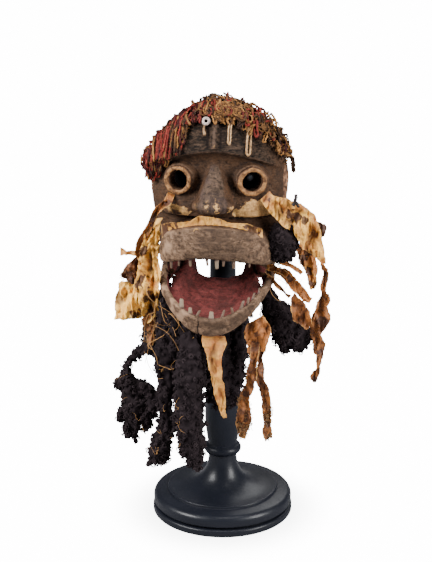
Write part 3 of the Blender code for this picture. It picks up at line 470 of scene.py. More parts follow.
def smooth_through(x, y, at):
    """A smooth curve through points that never overshoots them; x runs downwards or upwards."""
    if x[0] > x[-1]:
        x, y = x[::-1], y[::-1]
    gap = np.diff(x)
    slope = np.diff(y) / gap
    lean = np.zeros(len(x))
    same = slope[:-1] * slope[1:] > 0
    w1, w2 = 2 * gap[1:] + gap[:-1], gap[1:] + 2 * gap[:-1]
    mean = (w1 + w2) / (w1 / np.where(same, slope[:-1], 1) + w2 / np.where(same, slope[1:], 1))
    lean[1:-1] = np.where(same, mean, 0)
    lean[0], lean[-1] = slope[0], slope[-1]
    i = np.clip(np.searchsorted(x, at) - 1, 0, len(gap) - 1)
    u = (at - x[i]) / gap[i]
    a = (1 + 2 * u) * (1 - u) ** 2 * y[i] + u * (1 - u) ** 2 * gap[i] * lean[i]
    return a + u * u * (3 - 2 * u) * y[i + 1] + u * u * (u - 1) * gap[i] * lean[i + 1]


face_rises = np.concatenate(
    [
        np.linspace(0.087, 0.0405, 46),
        np.linspace(0.04, 0.035, 9),
        np.linspace(0.034, -0.034, 52),
        np.linspace(-0.0346, -0.039, 9),
        np.linspace(-0.0402, -0.064, 18),
    ]
)
face_depths = smooth_through(FACE_ROWS[:, 0], FACE_ROWS[:, 1], face_rises)
face_sags = smooth_through(FACE_ROWS[:, 0], FACE_ROWS[:, 2], face_rises)
face_angles = np.radians(np.linspace(-90, 90, 121))


def shell_faces(rows, columns):
    """Faces of a closed wall between a front grid and a back grid of the same size."""
    faces = []
    back = rows * columns
    for k in range(rows - 1):
        for i in range(columns - 1):
            a = k * columns + i
            b, c, d = a + 1, a + columns + 1, a + columns
            faces.append((a, d, c, b))
            faces.append((back + a, back + b, back + c, back + d))
        for a, turn in ((k * columns, False), (k * columns + columns - 1, True)):
            corners = (a, back + a, back + a + columns, a + columns)
            faces.append(corners[::-1] if turn else corners)
    last = (rows - 1) * columns
    for i in range(columns - 1):
        faces.append((i, i + 1, back + i + 1, back + i))
        faces.append((last + i + 1, last + i, back + last + i, back + last + i + 1))
    return faces


def loft_faces(rings, count, closed=True):
    faces = []
    for k in range(rings - 1):
        for i in range(count):
            j = (i + 1) % count
            faces.append((k * count + i, k * count + j, (k + 1) * count + j, (k + 1) * count + i))
    if closed:
        faces.append(tuple(range(count))[::-1])
        faces.append(tuple((rings - 1) * count + i for i in range(count)))
    return faces


carving_points = []
carving_faces = []


def add_form(points, faces):
    """Adds a closed form to the carving."""
    start = len(carving_points)
    carving_points.extend(np.asarray(points, float).reshape(-1, 3).tolist())
    carving_faces.extend([tuple(start + i for i in face) for face in faces])


front = np.array([face_point(face_angles, *row) for row in zip(face_rises, face_depths, face_sags)])
seat_height = math.sqrt(BALL_RADIUS**2 - RIM_Y**2) + MASK_BELOW_BALL - 0.0015
back_depth = FACE_ROWS[12][1] - WALL
hollow = []
for rise, sag in zip(face_rises, face_sags):
    height = rise - sag * np.sin(face_angles) ** 2
    dome = height > 0
    round_off = np.where(dome, np.sqrt(np.maximum(1 - (height / DOME_HEIGHT) ** 2, 0)), 1.0)
    half = np.where(dome, (FACE_HALF_WIDTH - RIM_WALL) * round_off, half_width(height) - RIM_WALL)
    height = np.where(dome, height * seat_height / DOME_HEIGHT, height)
    forward = np.maximum(np.cos(face_angles), 0.0) ** FACE_ROUNDNESS
    depth = back_depth * round_off * forward
    hollow.append(np.stack([half * np.sin(face_angles), RIM_Y - depth, FACE_LEVEL + height], -1))
rows, columns = front.shape[:2]
add_form(
    np.concatenate([front.reshape(-1, 3), np.array(hollow).reshape(-1, 3)]), shell_faces(rows, columns)
)


def front_depth(rise):
    return smooth_through(FACE_ROWS[:, 0], FACE_ROWS[:, 1], np.asarray(rise, float))


# the wedge of the nose, with a rounded back, flared wings and a flat underside
nose_rings = []
nose_count = 40
nose_profile = np.linspace(0, math.pi, 25)
for k in range(nose_count):
    share = k / (nose_count - 1)
    rise = between(NOSE_TOP_RISE, NOSE_BASE_RISE, share)
    low = min(share / 0.86, 1.0)
    half = between(NOSE_BRIDGE_HALF, NOSE_WING_HALF, low**0.95) * (1 - 0.1 * ease(0.93, 1.0, share))
    tip = between(float(front_depth(NOSE_TOP_RISE)) + 0.001, NOSE_PROUD, low**1.12)
    tip -= 0.006 * ease(0.88, 1.0, share) ** 1.2
    root = FACE_ROWS[12][1] - 0.006
    width = half * np.sign(np.cos(nose_profile)) * np.abs(np.cos(nose_profile)) ** 0.82
    keel = np.sin(nose_profile) ** (0.8 + 0.25 * ease(0.6, 1.0, share))
    y = RIM_Y - (root + (tip - root) * keel)
    z = FACE_LEVEL + rise - 0.0055 * ease(0.86, 1.0, share) * (1 - keel) + 0 * y
    nose_rings.append(np.stack([width, y, z], -1))
add_form(np.array(nose_rings), loft_faces(nose_count, len(nose_profile)))


def ball_form(centre, radii, turn=0.0):
    """A rounded lump of wood."""
    rings, sides = 14, 20
    points = []
    for k in range(rings):
        tilt = math.pi * (k + 0.5) / rings
        for i in range(sides):
            a = math.tau * i / sides
            x = radii[0] * math.sin(tilt) * math.cos(a)
            y = radii[1] * math.sin(tilt) * math.sin(a)
            z = radii[2] * math.cos(tilt)
            across = centre[0] + x * math.cos(turn) - y * math.sin(turn)
            deep = centre[1] + x * math.sin(turn) + y * math.cos(turn)
            points.append((across, deep, centre[2] + z))
    add_form(points, [face[::-1] for face in loft_faces(rings, sides)])


# the wings and the tip of the nose
for side in (-1, 1):
    ball_form((side * 0.0152, RIM_Y - 0.0665, FACE_LEVEL - 0.0195), (0.0078, 0.0105, 0.007), side * 0.5)
ball_form((0.0004, RIM_Y - 0.081, FACE_LEVEL - 0.019), (0.008, 0.008, 0.007))

# the wood that closes the corners of the mouth
for side in (-1, 1):
    ball_form((side * 0.052, RIM_Y - 0.02, FACE_LEVEL - 0.0985), (0.008, 0.015, 0.015))

# the ridge down the forehead
scar_rings = []
for rise in np.linspace(SCAR_TOP_RISE, SCAR_LOW_RISE, 24):
    proud = 0.0052 * ease(SCAR_TOP_RISE, SCAR_TOP_RISE - 0.006, rise) + 0.0006
    across = np.linspace(-1, 1, 9)
    y = RIM_Y - front_depth(rise) - proud * (1 - across**2) + 0.0015 * across**2
    top = np.stack([0.0056 * across, y, 0 * y + FACE_LEVEL + rise], -1)
    bottom = top[::-1] + np.array([0, 0.005, 0])
    scar_rings.append(np.concatenate([top, bottom]))
add_form(np.array(scar_rings), loft_faces(24, 18))


def mid_wall(angle):
    half = float(half_width(np.array(LIP_LOW_RISE))) - RIM_WALL / 2
    depth = FACE_ROWS[-1][1] - WALL / 2
    return half * math.sin(angle), RIM_Y - depth * math.cos(angle) ** FACE_ROUNDNESS


def lip_edge(degrees):
    """The upper lip's section at an angle: its front, the way in, the top and the low edge."""
    angle = math.radians(degrees)
    spread = math.sin(angle) ** 2
    top = FACE_LEVEL + LIP_TOP_RISE - LIP_TOP_ARCH * spread - LIP_END_DROP * spread**6
    low = FACE_LEVEL + LIP_LOW_RISE - LIP_LOW_ARCH * spread
    front_y = RIM_Y - LIP_ROOT - LIP_REACH * math.cos(angle)
    start = Vector((LIP_HALF_WIDTH * math.sin(angle), front_y, 0.0))
    root = Vector((*mid_wall(0.75 * angle), 0.0))
    return start, (root - start).normalized(), top, low, (root - start).length


lip_rings = []
for degrees in np.linspace(-90, 90, 97):
    start, inward, top, low, reach = lip_edge(degrees)
    tall = top - low
    lip = min(LIP_THICKNESS, 0.8 * reach)
    roof = FACE_LEVEL + LIP_ROOF_RISE - 0.6 * LIP_TOP_ARCH * math.sin(math.radians(degrees)) ** 2
    outline = [
        (0.001, top),
        (0.0, top - 0.001),
        (-0.0009, top - 0.22 * tall),
        (-0.0018, top - 0.5 * tall),
        (-0.0011, low + 0.25 * tall),
        (0.0, low + 0.12 * tall),
        (0.0014, low + 0.03 * tall),
        (0.0036, low - 0.0004),
        (lip * 0.7, low - 0.0004),
        (lip, low + 0.0012),
        (lip + 0.05 * (reach - lip), low + 0.25 * tall),
        (lip + 0.1 * (reach - lip), low + 0.45 * tall),
        (reach, low + 0.6 * tall),
        (reach, roof),
    ]
    lip_rings.append([(*(start + inward * d).xy, height) for d, height in outline])
add_form(np.array(lip_rings), loft_faces(97, 14))


def jaw_section(x, y_low, y_top, side, low, top, back):
    outer = Vector((x, y_low, low))
    crest_front = Vector((x - 0.0015 * side, y_top, top))
    inner = Vector((back.x, back.y, top)) - crest_front
    inward = Vector((inner.x, inner.y, 0.0)).normalized()
    tall = Vector((0, 0, top - low))
    up = Vector((0, 0, 1))
    crest = crest_front + inward * JAW_LIP_THICKNESS
    trough = crest_front + inward * (JAW_LIP_THICKNESS + 0.0045) - up * 0.007
    floor = trough.lerp(back, 0.5) - up * 0.003
    under_back = back - up * JAW_FLOOR
    return [
        outer + inward * 0.0015 - up * 0.0006,
        outer,
        outer - inward * 0.0012 + tall * 0.25,
        outer - inward * 0.0016 + tall * 0.55,
        crest_front - inward * 0.0006 - up * 0.003,
        crest_front + inward * 0.0008 - up * 0.0004,
        crest_front + inward * (JAW_LIP_THICKNESS * 0.5) + up * 0.0005,
        crest - up * 0.0006,
        crest + inward * 0.0018 - up * 0.003,
        trough,
        floor,
        back,
        under_back,
        outer.lerp(under_back, 0.66) - up * 0.005,
        outer.lerp(under_back, 0.33) - up * 0.004,
    ]


def jaw_sections(count):
    """The lower jaw's sections, from the left cheek round the chin to the right cheek."""
    sections = []
    corner_y = RIM_Y - JAW_ROOT
    back_y = RIM_Y - JAW_BACK
    base_low, base_top = FACE_LEVEL + JAW_LOW_RISE, FACE_LEVEL + JAW_TOP_RISE
    for degrees in np.linspace(-90, 90, count):
        side = math.sin(math.radians(degrees))
        ahead = math.cos(math.radians(degrees))
        lift = (
            JAW_BACK_LIFT * side**2 + CHEEK_WALL * float(ease(0.6, 0.86, -side) + ease(0.74, 0.98, side))
        )
        back = Vector((JAW_BACK_HALF * side, back_y, FACE_LEVEL + JAW_BACK_RISE + lift))
        sections.append(
            jaw_section(
                JAW_HALF_WIDTH * side,
                corner_y - (JAW_REACH - 0.002) * ahead,
                corner_y - (JAW_REACH + 0.002) * ahead,
                side,
                base_low + JAW_LOW_LIFT * side**2,
                base_top + JAW_TOP_LIFT * side**2,
                back,
            )
        )
    low, top = base_low + JAW_LOW_LIFT, base_top + JAW_TOP_LIFT
    back_rise = FACE_LEVEL + JAW_BACK_RISE + JAW_BACK_LIFT + CHEEK_WALL
    for share in np.linspace(0.1, 1, 8):
        y = corner_y + 0.026 * share
        inset = between(0.0, 0.01, share)
        for side in (-1, 1):
            back = Vector((side * (JAW_BACK_HALF + inset), max(y, back_y) + 0.003, back_rise))
            low_here = between(low, low - 0.004, ease(0, 0.6, share))
            top_here = between(top, top + 0.015, ease(0, 0.6, share))
            section = jaw_section(side * (JAW_HALF_WIDTH + 0.0005), y, y, side, low_here, top_here, back)
            if side < 0:
                sections.insert(0, section)
            else:
                sections.append(section)
    return sections


jaw_rings = np.array([[tuple(p) for p in section] for section in jaw_sections(97)])
add_form(jaw_rings, loft_faces(len(jaw_rings), 15))


def eye_frame(side, distance=0.0):
    """Turns +Z to look out of an eye, that far in front of the eye tube's end."""
    outward = Vector((side * math.sin(EYE_TURN), -math.cos(EYE_TURN), 0.0))
    centre = Vector((side * EYE_X, RIM_Y - EYE_PROUD, EYE_LEVEL))
    turn = outward.to_track_quat("Z", "Y").to_matrix().to_4x4()
    return Matrix.Translation(centre + outward * distance) @ turn


tube_profile = [(0.0, 0.0), (0.0155, 0.0), (0.0168, 0.0006), (0.0176, 0.0006), (0.0188, -0.0004)]
tube_profile += [
    (0.0196, -0.0018), (0.0203, -0.0045), (0.0212, -0.008), (0.0228, -0.011), (0.0245, -0.0135),
    (0.0, -0.0135),
]


def placed_ring(place, radii, angles, heights):
    """A ring of points about the axis of a place."""
    radii, heights = np.broadcast_to(radii, len(angles)), np.broadcast_to(heights, len(angles))
    steps = zip(radii, angles, heights)
    return [tuple(place @ Vector((r * math.cos(a), r * math.sin(a), h))) for r, a, h in steps]


tube_angles = np.linspace(0, math.tau, TUBE_SIDES, endpoint=False)
for side in (-1, 1):
    rings = []
    for radius, height in tube_profile:
        wobble = 1 + 0.015 * np.sin(3 * tube_angles + side) + 0.012 * np.sin(5 * tube_angles)
        reach = max(radius, 0.0002) * (wobble if radius > 0.017 else 1)
        rings.append(placed_ring(eye_frame(side), reach, tube_angles, height))
    add_form(np.array(rings), [face[::-1] for face in loft_faces(len(rings), TUBE_SIDES)])

mask_mesh = bpy.data.meshes.new("carved_mask")
mask_mesh.from_pydata(carving_points, [], carving_faces)
form = bmesh.new()
form.from_mesh(mask_mesh)
bmesh.ops.remove_doubles(form, verts=form.verts, dist=0.00001)
bmesh.ops.recalc_face_normals(form, faces=form.faces)
form.to_mesh(mask_mesh)
form.free()
carved_mask = placed("carved_mask", mask_mesh)


def made_plain(piece):
    """Turns a piece with its modifiers into a plain mesh."""
    bpy.context.view_layer.update()
    mesh = bpy.data.meshes.new_from_object(piece.evaluated_get(bpy.context.evaluated_depsgraph_get()))
    piece.modifiers.clear()
    piece.data = mesh
    return mesh


fused = carved_mask.modifiers.new("one_piece", "REMESH")
fused.mode = "VOXEL"
fused.voxel_size = CARVING_GRAIN
made_plain(carved_mask)


def cutter(name, profile, sides, place):
    tool = lathe(name, profile, sides, black_wood)
    tool.data.transform(place)
    return tool


drill = [(0.0, DRILL_REACH), (EYE_HOLE_RADIUS, DRILL_REACH)]
drill += [(EYE_HOLE_RADIUS, -DRILL_REACH), (0.0, -DRILL_REACH)]
cutters = [cutter(f"drill_{side}", drill, 56, eye_frame(side)) for side in (-1, 1)]
seat_radius = BALL_RADIUS + SEAT_GAP
seat_ball = [(0.0, seat_radius)] + arc((0.0, 0.0), seat_radius, 86, -86, 40) + [(0.0, -seat_radius)]
cutters.append(cutter("seat_ball", seat_ball, 72, Matrix.Translation((0, 0, BALL_HEIGHT))))
for side in (-1, 1):
    nostril = [(0.0, 0.0035)] + arc((0.0, 0.0), NOSTRIL_RADIUS, 80, -80, 8) + [(0.0, -0.0035)]
    place = Matrix.Translation((side * 0.0066, RIM_Y - 0.0775, FACE_LEVEL - 0.0262))
    cutters.append(cutter(f"nostril_{side}", nostril, 20, place @ Matrix.Diagonal((0.95, 1.25, 1.1, 1.0))))
for tool in cutters:
    cut = carved_mask.modifiers.new(f"cut_{tool.name}", "BOOLEAN")
    cut.operation = "DIFFERENCE"
    cut.solver = "EXACT"
    cut.object = tool
made_plain(carved_mask)
for tool in cutters:
    bpy.data.objects.remove(tool)


def read_all(items, name, width, kind=float):
    """One property of all points or edges, a row for each."""
    values = np.empty(len(items) * width, kind)
    items.foreach_get(name, values)
    return values.reshape(-1, width)


def spread_out(values, ends, rounds):
    """Averages a value over each point's neighbours."""
    values = np.array(values, float)
    weight = np.bincount(ends.ravel(), minlength=len(values)).clip(1)
    for _ in range(rounds):
        total = np.zeros_like(values)
        for a, b in ((0, 1), (1, 0)):
            if values.ndim == 1:
                total += np.bincount(ends[:, a], values[ends[:, b]], minlength=len(values))
            else:
                for axis in range(values.shape[1]):
                    total[:, axis] += np.bincount(
                        ends[:, a], values[ends[:, b], axis], minlength=len(values)
                    )
        mean = total / (weight if values.ndim == 1 else weight[:, None])
        values = values * 0.5 + mean * 0.5
    return values


def rough_field(spots, scale, seed, octaves=3, stretch=(1, 1, 1)):
    """Smooth noise from -1 to 1 at places, with features of about 1 / scale metres."""
    shifted = spots * np.array(stretch) * scale + seed * 17.3
    if octaves == 1:
        return np.array([noise.noise(p) for p in shifted])
    return np.array([noise.fractal(p, 0.9, 2.0, octaves) for p in shifted])


def paint(mesh, name, values):
    layer = mesh.attributes.new(name, "FLOAT", "POINT")
    layer.data.foreach_set("value", np.asarray(values, np.float32))


mesh = carved_mask.data
ends = read_all(mesh.edges, "vertices", 2, int)
spots = spread_out(read_all(mesh.vertices, "co", 3), ends, 3)
mesh.vertices.foreach_set("co", spots.ravel())
mesh.update()
normals = read_all(mesh.vertices, "normal", 3)
x, y, z = spots.T
rise = z - FACE_LEVEL
ahead = RIM_Y - y

# where the lips, the jaw and the inside of the mouth lie
lip_out = np.where(
    ahead > LIP_ROOT, np.hypot(x / LIP_HALF_WIDTH, (ahead - LIP_ROOT) / LIP_REACH),
    np.abs(x) / LIP_HALF_WIDTH,
)
spread = np.clip(x / LIP_HALF_WIDTH, -1, 1) ** 2
lip_top = LIP_TOP_RISE - LIP_TOP_ARCH * spread - LIP_END_DROP * spread**6
lip_low = LIP_LOW_RISE - LIP_LOW_ARCH * spread
on_lip = (
    ease(0.9, 0.97, lip_out) * ease(lip_top + 0.003, lip_top - 0.001, rise)
    * ease(lip_low - 0.006, lip_low - 0.002, rise) * ease(0.018, 0.028, ahead)
)
jaw_out = np.where(
    ahead > JAW_ROOT, np.hypot(x / JAW_HALF_WIDTH, (ahead - JAW_ROOT) / JAW_REACH),
    np.abs(x) / JAW_HALF_WIDTH,
)
jaw_zone = ease(lip_low - 0.006, lip_low - 0.014, rise)
on_jaw = ease(0.86, 0.9, jaw_out) * jaw_zone * ease(0.0, 0.012, ahead)
inside = (
    ease(0.905, 0.865, jaw_out) * jaw_zone * ease(-0.55, -0.15, normals[:, 2]) * ease(0.0, 0.01, ahead)
)
gullet = (
    ease(0.86, 0.8, lip_out) * ease(-0.06, -0.07, rise) * (1 - jaw_zone) * ease(0.2, -0.2, normals[:, 2])
)
inside = np.maximum(inside, 0.75 * gullet)

# edges that stand out are worn, and creases are darkened with painted shade
slope = spots[ends[:, 1]] - spots[ends[:, 0]]
length = np.linalg.norm(slope, axis=1).clip(1e-6)
bend_a = (normals[ends[:, 0]] * slope).sum(1) / length
bend_b = -(normals[ends[:, 1]] * slope).sum(1) / length
bend = (
    np.bincount(ends[:, 0], bend_a, minlength=len(spots))
    + np.bincount(ends[:, 1], bend_b, minlength=len(spots))
)
bend /= np.bincount(ends.ravel(), minlength=len(spots)).clip(1)
edge_wear = spread_out(ease(0.03, 0.16, -bend), ends, 2)
crease_shade = spread_out(ease(0.02, 0.14, bend), ends, 4)

# the uneven wood under the knife: swells, gouges, dents and chips
broad = rough_field(spots, 55, 3)
gouges = rough_field(spots, 300, 5, 3, (0.16, 0.5, 1.0))
dents = rough_field(spots, 150, 9, 2)
push = SWELL * broad + DENT_DEPTH * dents
front_wood = ease(0.0, 0.006, ahead)
push += (GOUGE_DEPTH + LIP_GOUGE_DEPTH * on_lip) * gouges * front_wood
chips = ease(0.35, 0.65, rough_field(spots, 120, 21, 2)) * edge_wear
push -= CHIP_DEPTH * chips


def crack(at_x, low, high, width, lean, seed):
    """A split that runs up the wood at x, between two heights."""
    wander = 0.0012 * rough_field(np.stack([0 * z, 0 * z, z], -1), 160, seed, 2)
    distance = np.abs(x - at_x - lean * (rise - low) - wander)
    return (
        bell(distance, width) * ease(low - 0.002, low + 0.001, rise)
        * ease(high + 0.002, high - 0.001, rise)
    )


front_side = ease(0.02, 0.04, ahead)
split = crack(-0.0135, -0.172, -0.142, 0.001, 0.02, 4) * on_jaw
split = np.maximum(split, crack(-0.011, -0.056, -0.04, 0.0007, -0.05, 8) * on_lip * 0.35)
push -= SPLIT_DEPTH * split
spots = spots + normals * push[:, None]
mesh.vertices.foreach_set("co", spots.ravel())
mesh.update()

# where the wood is rubbed pale, painted or chalky, and where the lips get painted shade
blotch = rough_field(spots, 75, 31)
cheek_x = (np.abs(x) - np.where(x > 0, 0.048, 0.045)) / np.where(x > 0, 0.029, 0.0225)
cheek_rise = (rise + np.where(x > 0, 0.0285, 0.0305)) / np.where(x > 0, 0.013, 0.008)
cheek_away = np.hypot(cheek_x, cheek_rise) + 0.3 * rough_field(spots, 130, 77) + 0.22 * blotch
cheek = ease(1.05, 0.75, cheek_away) * ease(0.02, 0.04, ahead) * ease(-0.0395, -0.037, rise)
cheek *= np.where(x > 0, 1.0, 0.62 + 0.5 * blotch)
rub_x = (np.abs(x - 0.0008) - 0.0056) / 0.0034 + 0.25 * (rise + 0.018) / 0.006
nostril_rub = (
    ease(1.3, 0.4, np.hypot(rub_x, (rise + 0.0175) / 0.0075) + 0.9 * rough_field(spots, 300, 63))
    * ease(0.07, 0.076, ahead) * np.where(x > 0, 1.0, 0.75)
)
wing_rub = bell(np.abs(x) - 0.0185, 0.005) * bell(rise + 0.019, 0.006) * ease(0.05, 0.058, ahead) * 0.35
rim_rub = (
    ease(0.0735, 0.0775, np.abs(x)) * ease(-0.036, -0.026, rise)
    * ease(np.where(x > 0, 0.026, 0.016), np.where(x > 0, 0.012, 0.004), rise)
)
ridge_rub = bell(x - 0.0006, 0.003) * bell(rise - 0.047, 0.0055) * front_side * 0.34
ridge_rub += (
    bell(x + 0.0002, 0.0028) * ease(0.038, 0.046, rise) * ease(0.08, 0.066, rise) * front_side * 0.12
)
ridge_rub *= 0.8 + 0.9 * rough_field(spots, 190, 91)
pale = np.clip(cheek * (0.85 + 0.5 * blotch) + 0.58 * nostril_rub + wing_rub + 0.85 * ridge_rub, 0, 1)
nose_down = np.clip((NOSE_TOP_RISE - rise) / (NOSE_TOP_RISE - NOSE_BASE_RISE) / 0.86, 0, 1)
nose_half = between(NOSE_BRIDGE_HALF, NOSE_WING_HALF, nose_down**0.95) * (0.8 + 0.1 * blotch)
nose_zone = (
    ease(1.06, 0.86, np.abs(x) / nose_half) * ease(0.027, 0.02, rise) * ease(-0.03, -0.026, rise)
    * ease(0.045, 0.05, ahead)
)
paint(mesh, "lips", np.clip(np.maximum(on_lip, on_jaw), 0, 1))
paint(mesh, "red", np.clip(inside, 0, 1))
paint(mesh, "pale", pale)
paint(mesh, "rim", np.clip(rim_rub, 0, 1))
# painted shade on the lips: darker in the middle and towards the right, broken up by blotches
soot = bell(x - 0.004, 0.021) + 0.45 * ease(0.01, 0.04, x)
paint(mesh, "soot", np.clip(soot + 0.6 * blotch, 0, 1))
chalk = ease(-0.012, -0.042, x) * (0.55 * on_lip + on_jaw) * (0.55 + 1.2 * blotch)
paint(mesh, "chalk", np.clip(chalk, 0, 1))
along_ridge = ease(0.04, 0.044, rise) * ease(0.08, 0.07, rise) * front_side
ridge = bell(x, 0.004) * along_ridge
beside_ridge_shade = bell(np.abs(x) - 0.0072, 0.002) * along_ridge
paint(mesh, "ridge", ridge * (0.75 + 0.8 * rough_field(spots, 210, 95)))
paint(mesh, "nose", np.clip(nose_zone, 0, 1))
paint(mesh, "wear", np.clip(edge_wear, 0, 1))
# painted shade: darker in creases, along the splits, beside the forehead ridge and high inside the mouth
paint(
    mesh, "grime",
    np.clip(
        np.maximum(np.maximum(crease_shade, split), 0.8 * beside_ridge_shade)
        + 0.42 * inside * ease(-0.126, -0.098, rise),
        0, 1,
    ),
)
paint(mesh, "brow", ease(0.034, 0.041, rise + 0.024 * np.clip(x / 0.075, -1, 1) ** 2) * front_side)


def mask_finish():
    mix = Finish("smoked_carved_wood")
    along = mix.stretched((0.3, 0.5, 1.0))
    streak = mix.grain(520, 6, 0.62, 0.5, along)
    fine = mix.grain(1900, 4, 0.6, 0.0, mix.stretched((0.3, 0.6, 1.0)))
    upright = mix.grain(420, 5, 0.65, 0.4, mix.stretched((1.0, 0.5, 0.22)))
    mottle = mix.grain(85, 6, 0.66, 0.4)
    uneven = mottle - 0.5
    stain = mix.grain(170, 6, 0.74, 0.6, mix.stretched((0.55, 0.8, 1.0)))
    patch = mix.grain(34, 5, 0.62)
    grit = mix.grain(420, 5, 0.7)
    speck = mix.step(mix.cells(700), 0.2, 0.06)
    lips, red, pale = mix.painted("lips"), mix.painted("red"), mix.painted("pale")
    wear, grime, brow = mix.painted("wear"), mix.painted("grime"), mix.painted("brow")
    rim, nose = mix.painted("rim"), mix.painted("nose")
    dark = mix.over((0.007, 0.003, 0.0015), streak * 0.5 + grit * 0.5, 0.3, 0.7, (0.086, 0.045, 0.024))
    dark = mix.over(dark, mottle, 0.4, 0.68, (0.062, 0.028, 0.012), 0.6)
    dark = mix.over(dark, patch, 0.52, 0.66, (0.012, 0.007, 0.005), 0.5)
    forehead = mix.over(
        (0.004, 0.0025, 0.0015), streak * 0.6 + stain * 0.4, 0.4, 0.62, (0.06, 0.036, 0.023)
    )
    forehead = mix.over(forehead, fine * 0.5 + streak * 0.5, 0.54, 0.66, (0.12, 0.082, 0.06), 0.55)
    forehead = mix.over(forehead, patch, 0.5, 0.62, (0.018, 0.01, 0.007), 0.55)
    forehead = mix.over(
        forehead, mix.painted("ridge") + 0.5 * uneven, 0.25, 0.85, (0.09, 0.058, 0.041), 0.75
    )
    colour = mix.blend(brow, dark, forehead)
    nose_wood = mix.over(
        (0.013, 0.008, 0.005), grit * 0.25 + stain * 0.45 + upright * 0.3, 0.4, 0.6, (0.098, 0.061, 0.041)
    )
    nose_wood = mix.over(nose_wood, patch, 0.5, 0.62, (0.04, 0.026, 0.025), 0.5)
    colour = mix.blend(nose, colour, nose_wood)
    lip_wood = mix.over(
        (0.03, 0.016, 0.009), grit * 0.2 + streak * 0.25 + stain * 0.55, 0.38, 0.62, (0.23, 0.141, 0.086)
    )
    lip_wood = mix.over(lip_wood, patch, 0.48, 0.64, (0.046, 0.026, 0.016), 0.6)
    lip_wood = mix.over(lip_wood, mix.grain(130, 4, 0.7), 0.6, 0.72, (0.27, 0.18, 0.122), 0.6)
    lip_wood = mix.over(lip_wood, mix.grain(300, 3, 0.6, 0.8), 0.6, 0.68, (0.018, 0.01, 0.007), 0.75)
    # painted shade on the lips
    lip_wood = mix.over(lip_wood, mix.painted("soot") + 0.5 * uneven, 0.2, 0.9, (0.04, 0.024, 0.016), 0.62)
    lip_wood = mix.over(lip_wood, mix.painted("chalk") + 0.6 * uneven, 0.15, 0.75, (0.4, 0.25, 0.155), 0.6)
    colour = mix.blend(lips, colour, lip_wood)
    rubbed = mix.over((0.13, 0.055, 0.018), mottle * 0.6 + grit * 0.4, 0.3, 0.66, (0.64, 0.37, 0.14))
    colour = mix.over(colour, pale + 0.7 * uneven + 0.3 * (grit - 0.5), 0.3, 0.62, rubbed)
    rim_wood = mix.over((0.035, 0.016, 0.009), stain, 0.38, 0.62, (0.27, 0.14, 0.078))
    colour = mix.over(colour, rim + 0.5 * uneven, 0.3, 0.6, rim_wood)
    worn = mix.step(wear + 0.7 * uneven, 0.25, 0.75)
    colour = mix.blend(worn * 0.5, colour, (0.19, 0.112, 0.068))
    paint_red = mix.over(
        (0.03, 0.008, 0.007), mottle * 0.4 + stain * 0.4 + grit * 0.2, 0.36, 0.62, (0.2, 0.047, 0.042)
    )
    paint_red = mix.over(paint_red, streak, 0.52, 0.72, (0.03, 0.01, 0.009), 0.6)
    paint_red = mix.over(paint_red, patch * 0.6 + mottle * 0.4, 0.5, 0.6, (0.046, 0.017, 0.014), 0.65)
    colour = mix.over(colour, red + 0.35 * uneven, 0.3, 0.6, paint_red)
    # painted shade, darkest in creases and recesses
    colour = mix.over(colour, grime + 0.3 * uneven, 0.22, 0.8, (0.008, 0.004, 0.003), 0.9)
    colour = mix.blend(speck * 0.5, colour, (0.01, 0.006, 0.004))
    rough = 0.38 + 0.24 * mottle + 0.16 * grit - 0.08 * worn
    height = (
        0.6 * streak + 0.4 * fine + 1.1 * mottle + 0.5 * grit - 0.6 * speck
        + brow * (1.3 * streak + 0.6 * fine)
    )
    return mix.set(
        Base_Color=colour,
        Roughness=rough,
        Normal=mix.bump(height, 0.0014),
        Specular_IOR_Level=0.12,
    )


mesh.materials.clear()
mesh.materials.append(mask_finish())
mesh.shade_smooth()
settle(carved_mask, "mask_wood", "mask_face")


# The eye rings: two flat rings of pale wood or bone set on the eye tubes, cut by hand, so that
# the outline and the width wander. The face is pitted and stained.
RING_RADIUS = 0.0166
RING_THICKNESS = 0.0042
RING_GAP = 0.0003
RING_SIDES = 72


def ring_finish():
    mix = Finish("pale_worn_ring")
    mottle = mix.grain(210, 6, 0.65, 0.3)
    patch = mix.grain(70, 4, 0.6)
    pits = mix.step(mix.cells(620), 0.26, 0.1)
    colour = mix.over((0.062, 0.026, 0.0095), mottle, 0.36, 0.64, (0.3, 0.145, 0.053))
    colour = mix.over(colour, patch, 0.56, 0.74, (0.05, 0.02, 0.008), 0.6)
    colour = mix.blend(pits * mix.step(mottle, 0.62, 0.4), colour, (0.1, 0.04, 0.016))
    # painted shade on the bore and the outer side of the ring
    colour = mix.blend(mix.painted("grime"), colour, (0.045, 0.02, 0.01))
    rough = 0.52 + 0.2 * mottle
    bump = mix.bump(mottle - 0.6 * pits, 0.0006)
    return mix.set(Base_Color=colour, Roughness=rough, Normal=bump, Specular_IOR_Level=0.2)


def wrapped_faces(rings, count):
    """Faces of a ring whose section closes on itself."""
    faces = loft_faces(rings, count, closed=False)
    last = (rings - 1) * count
    return faces + [(last + i, last + (i + 1) % count, (i + 1) % count, i) for i in range(count)]


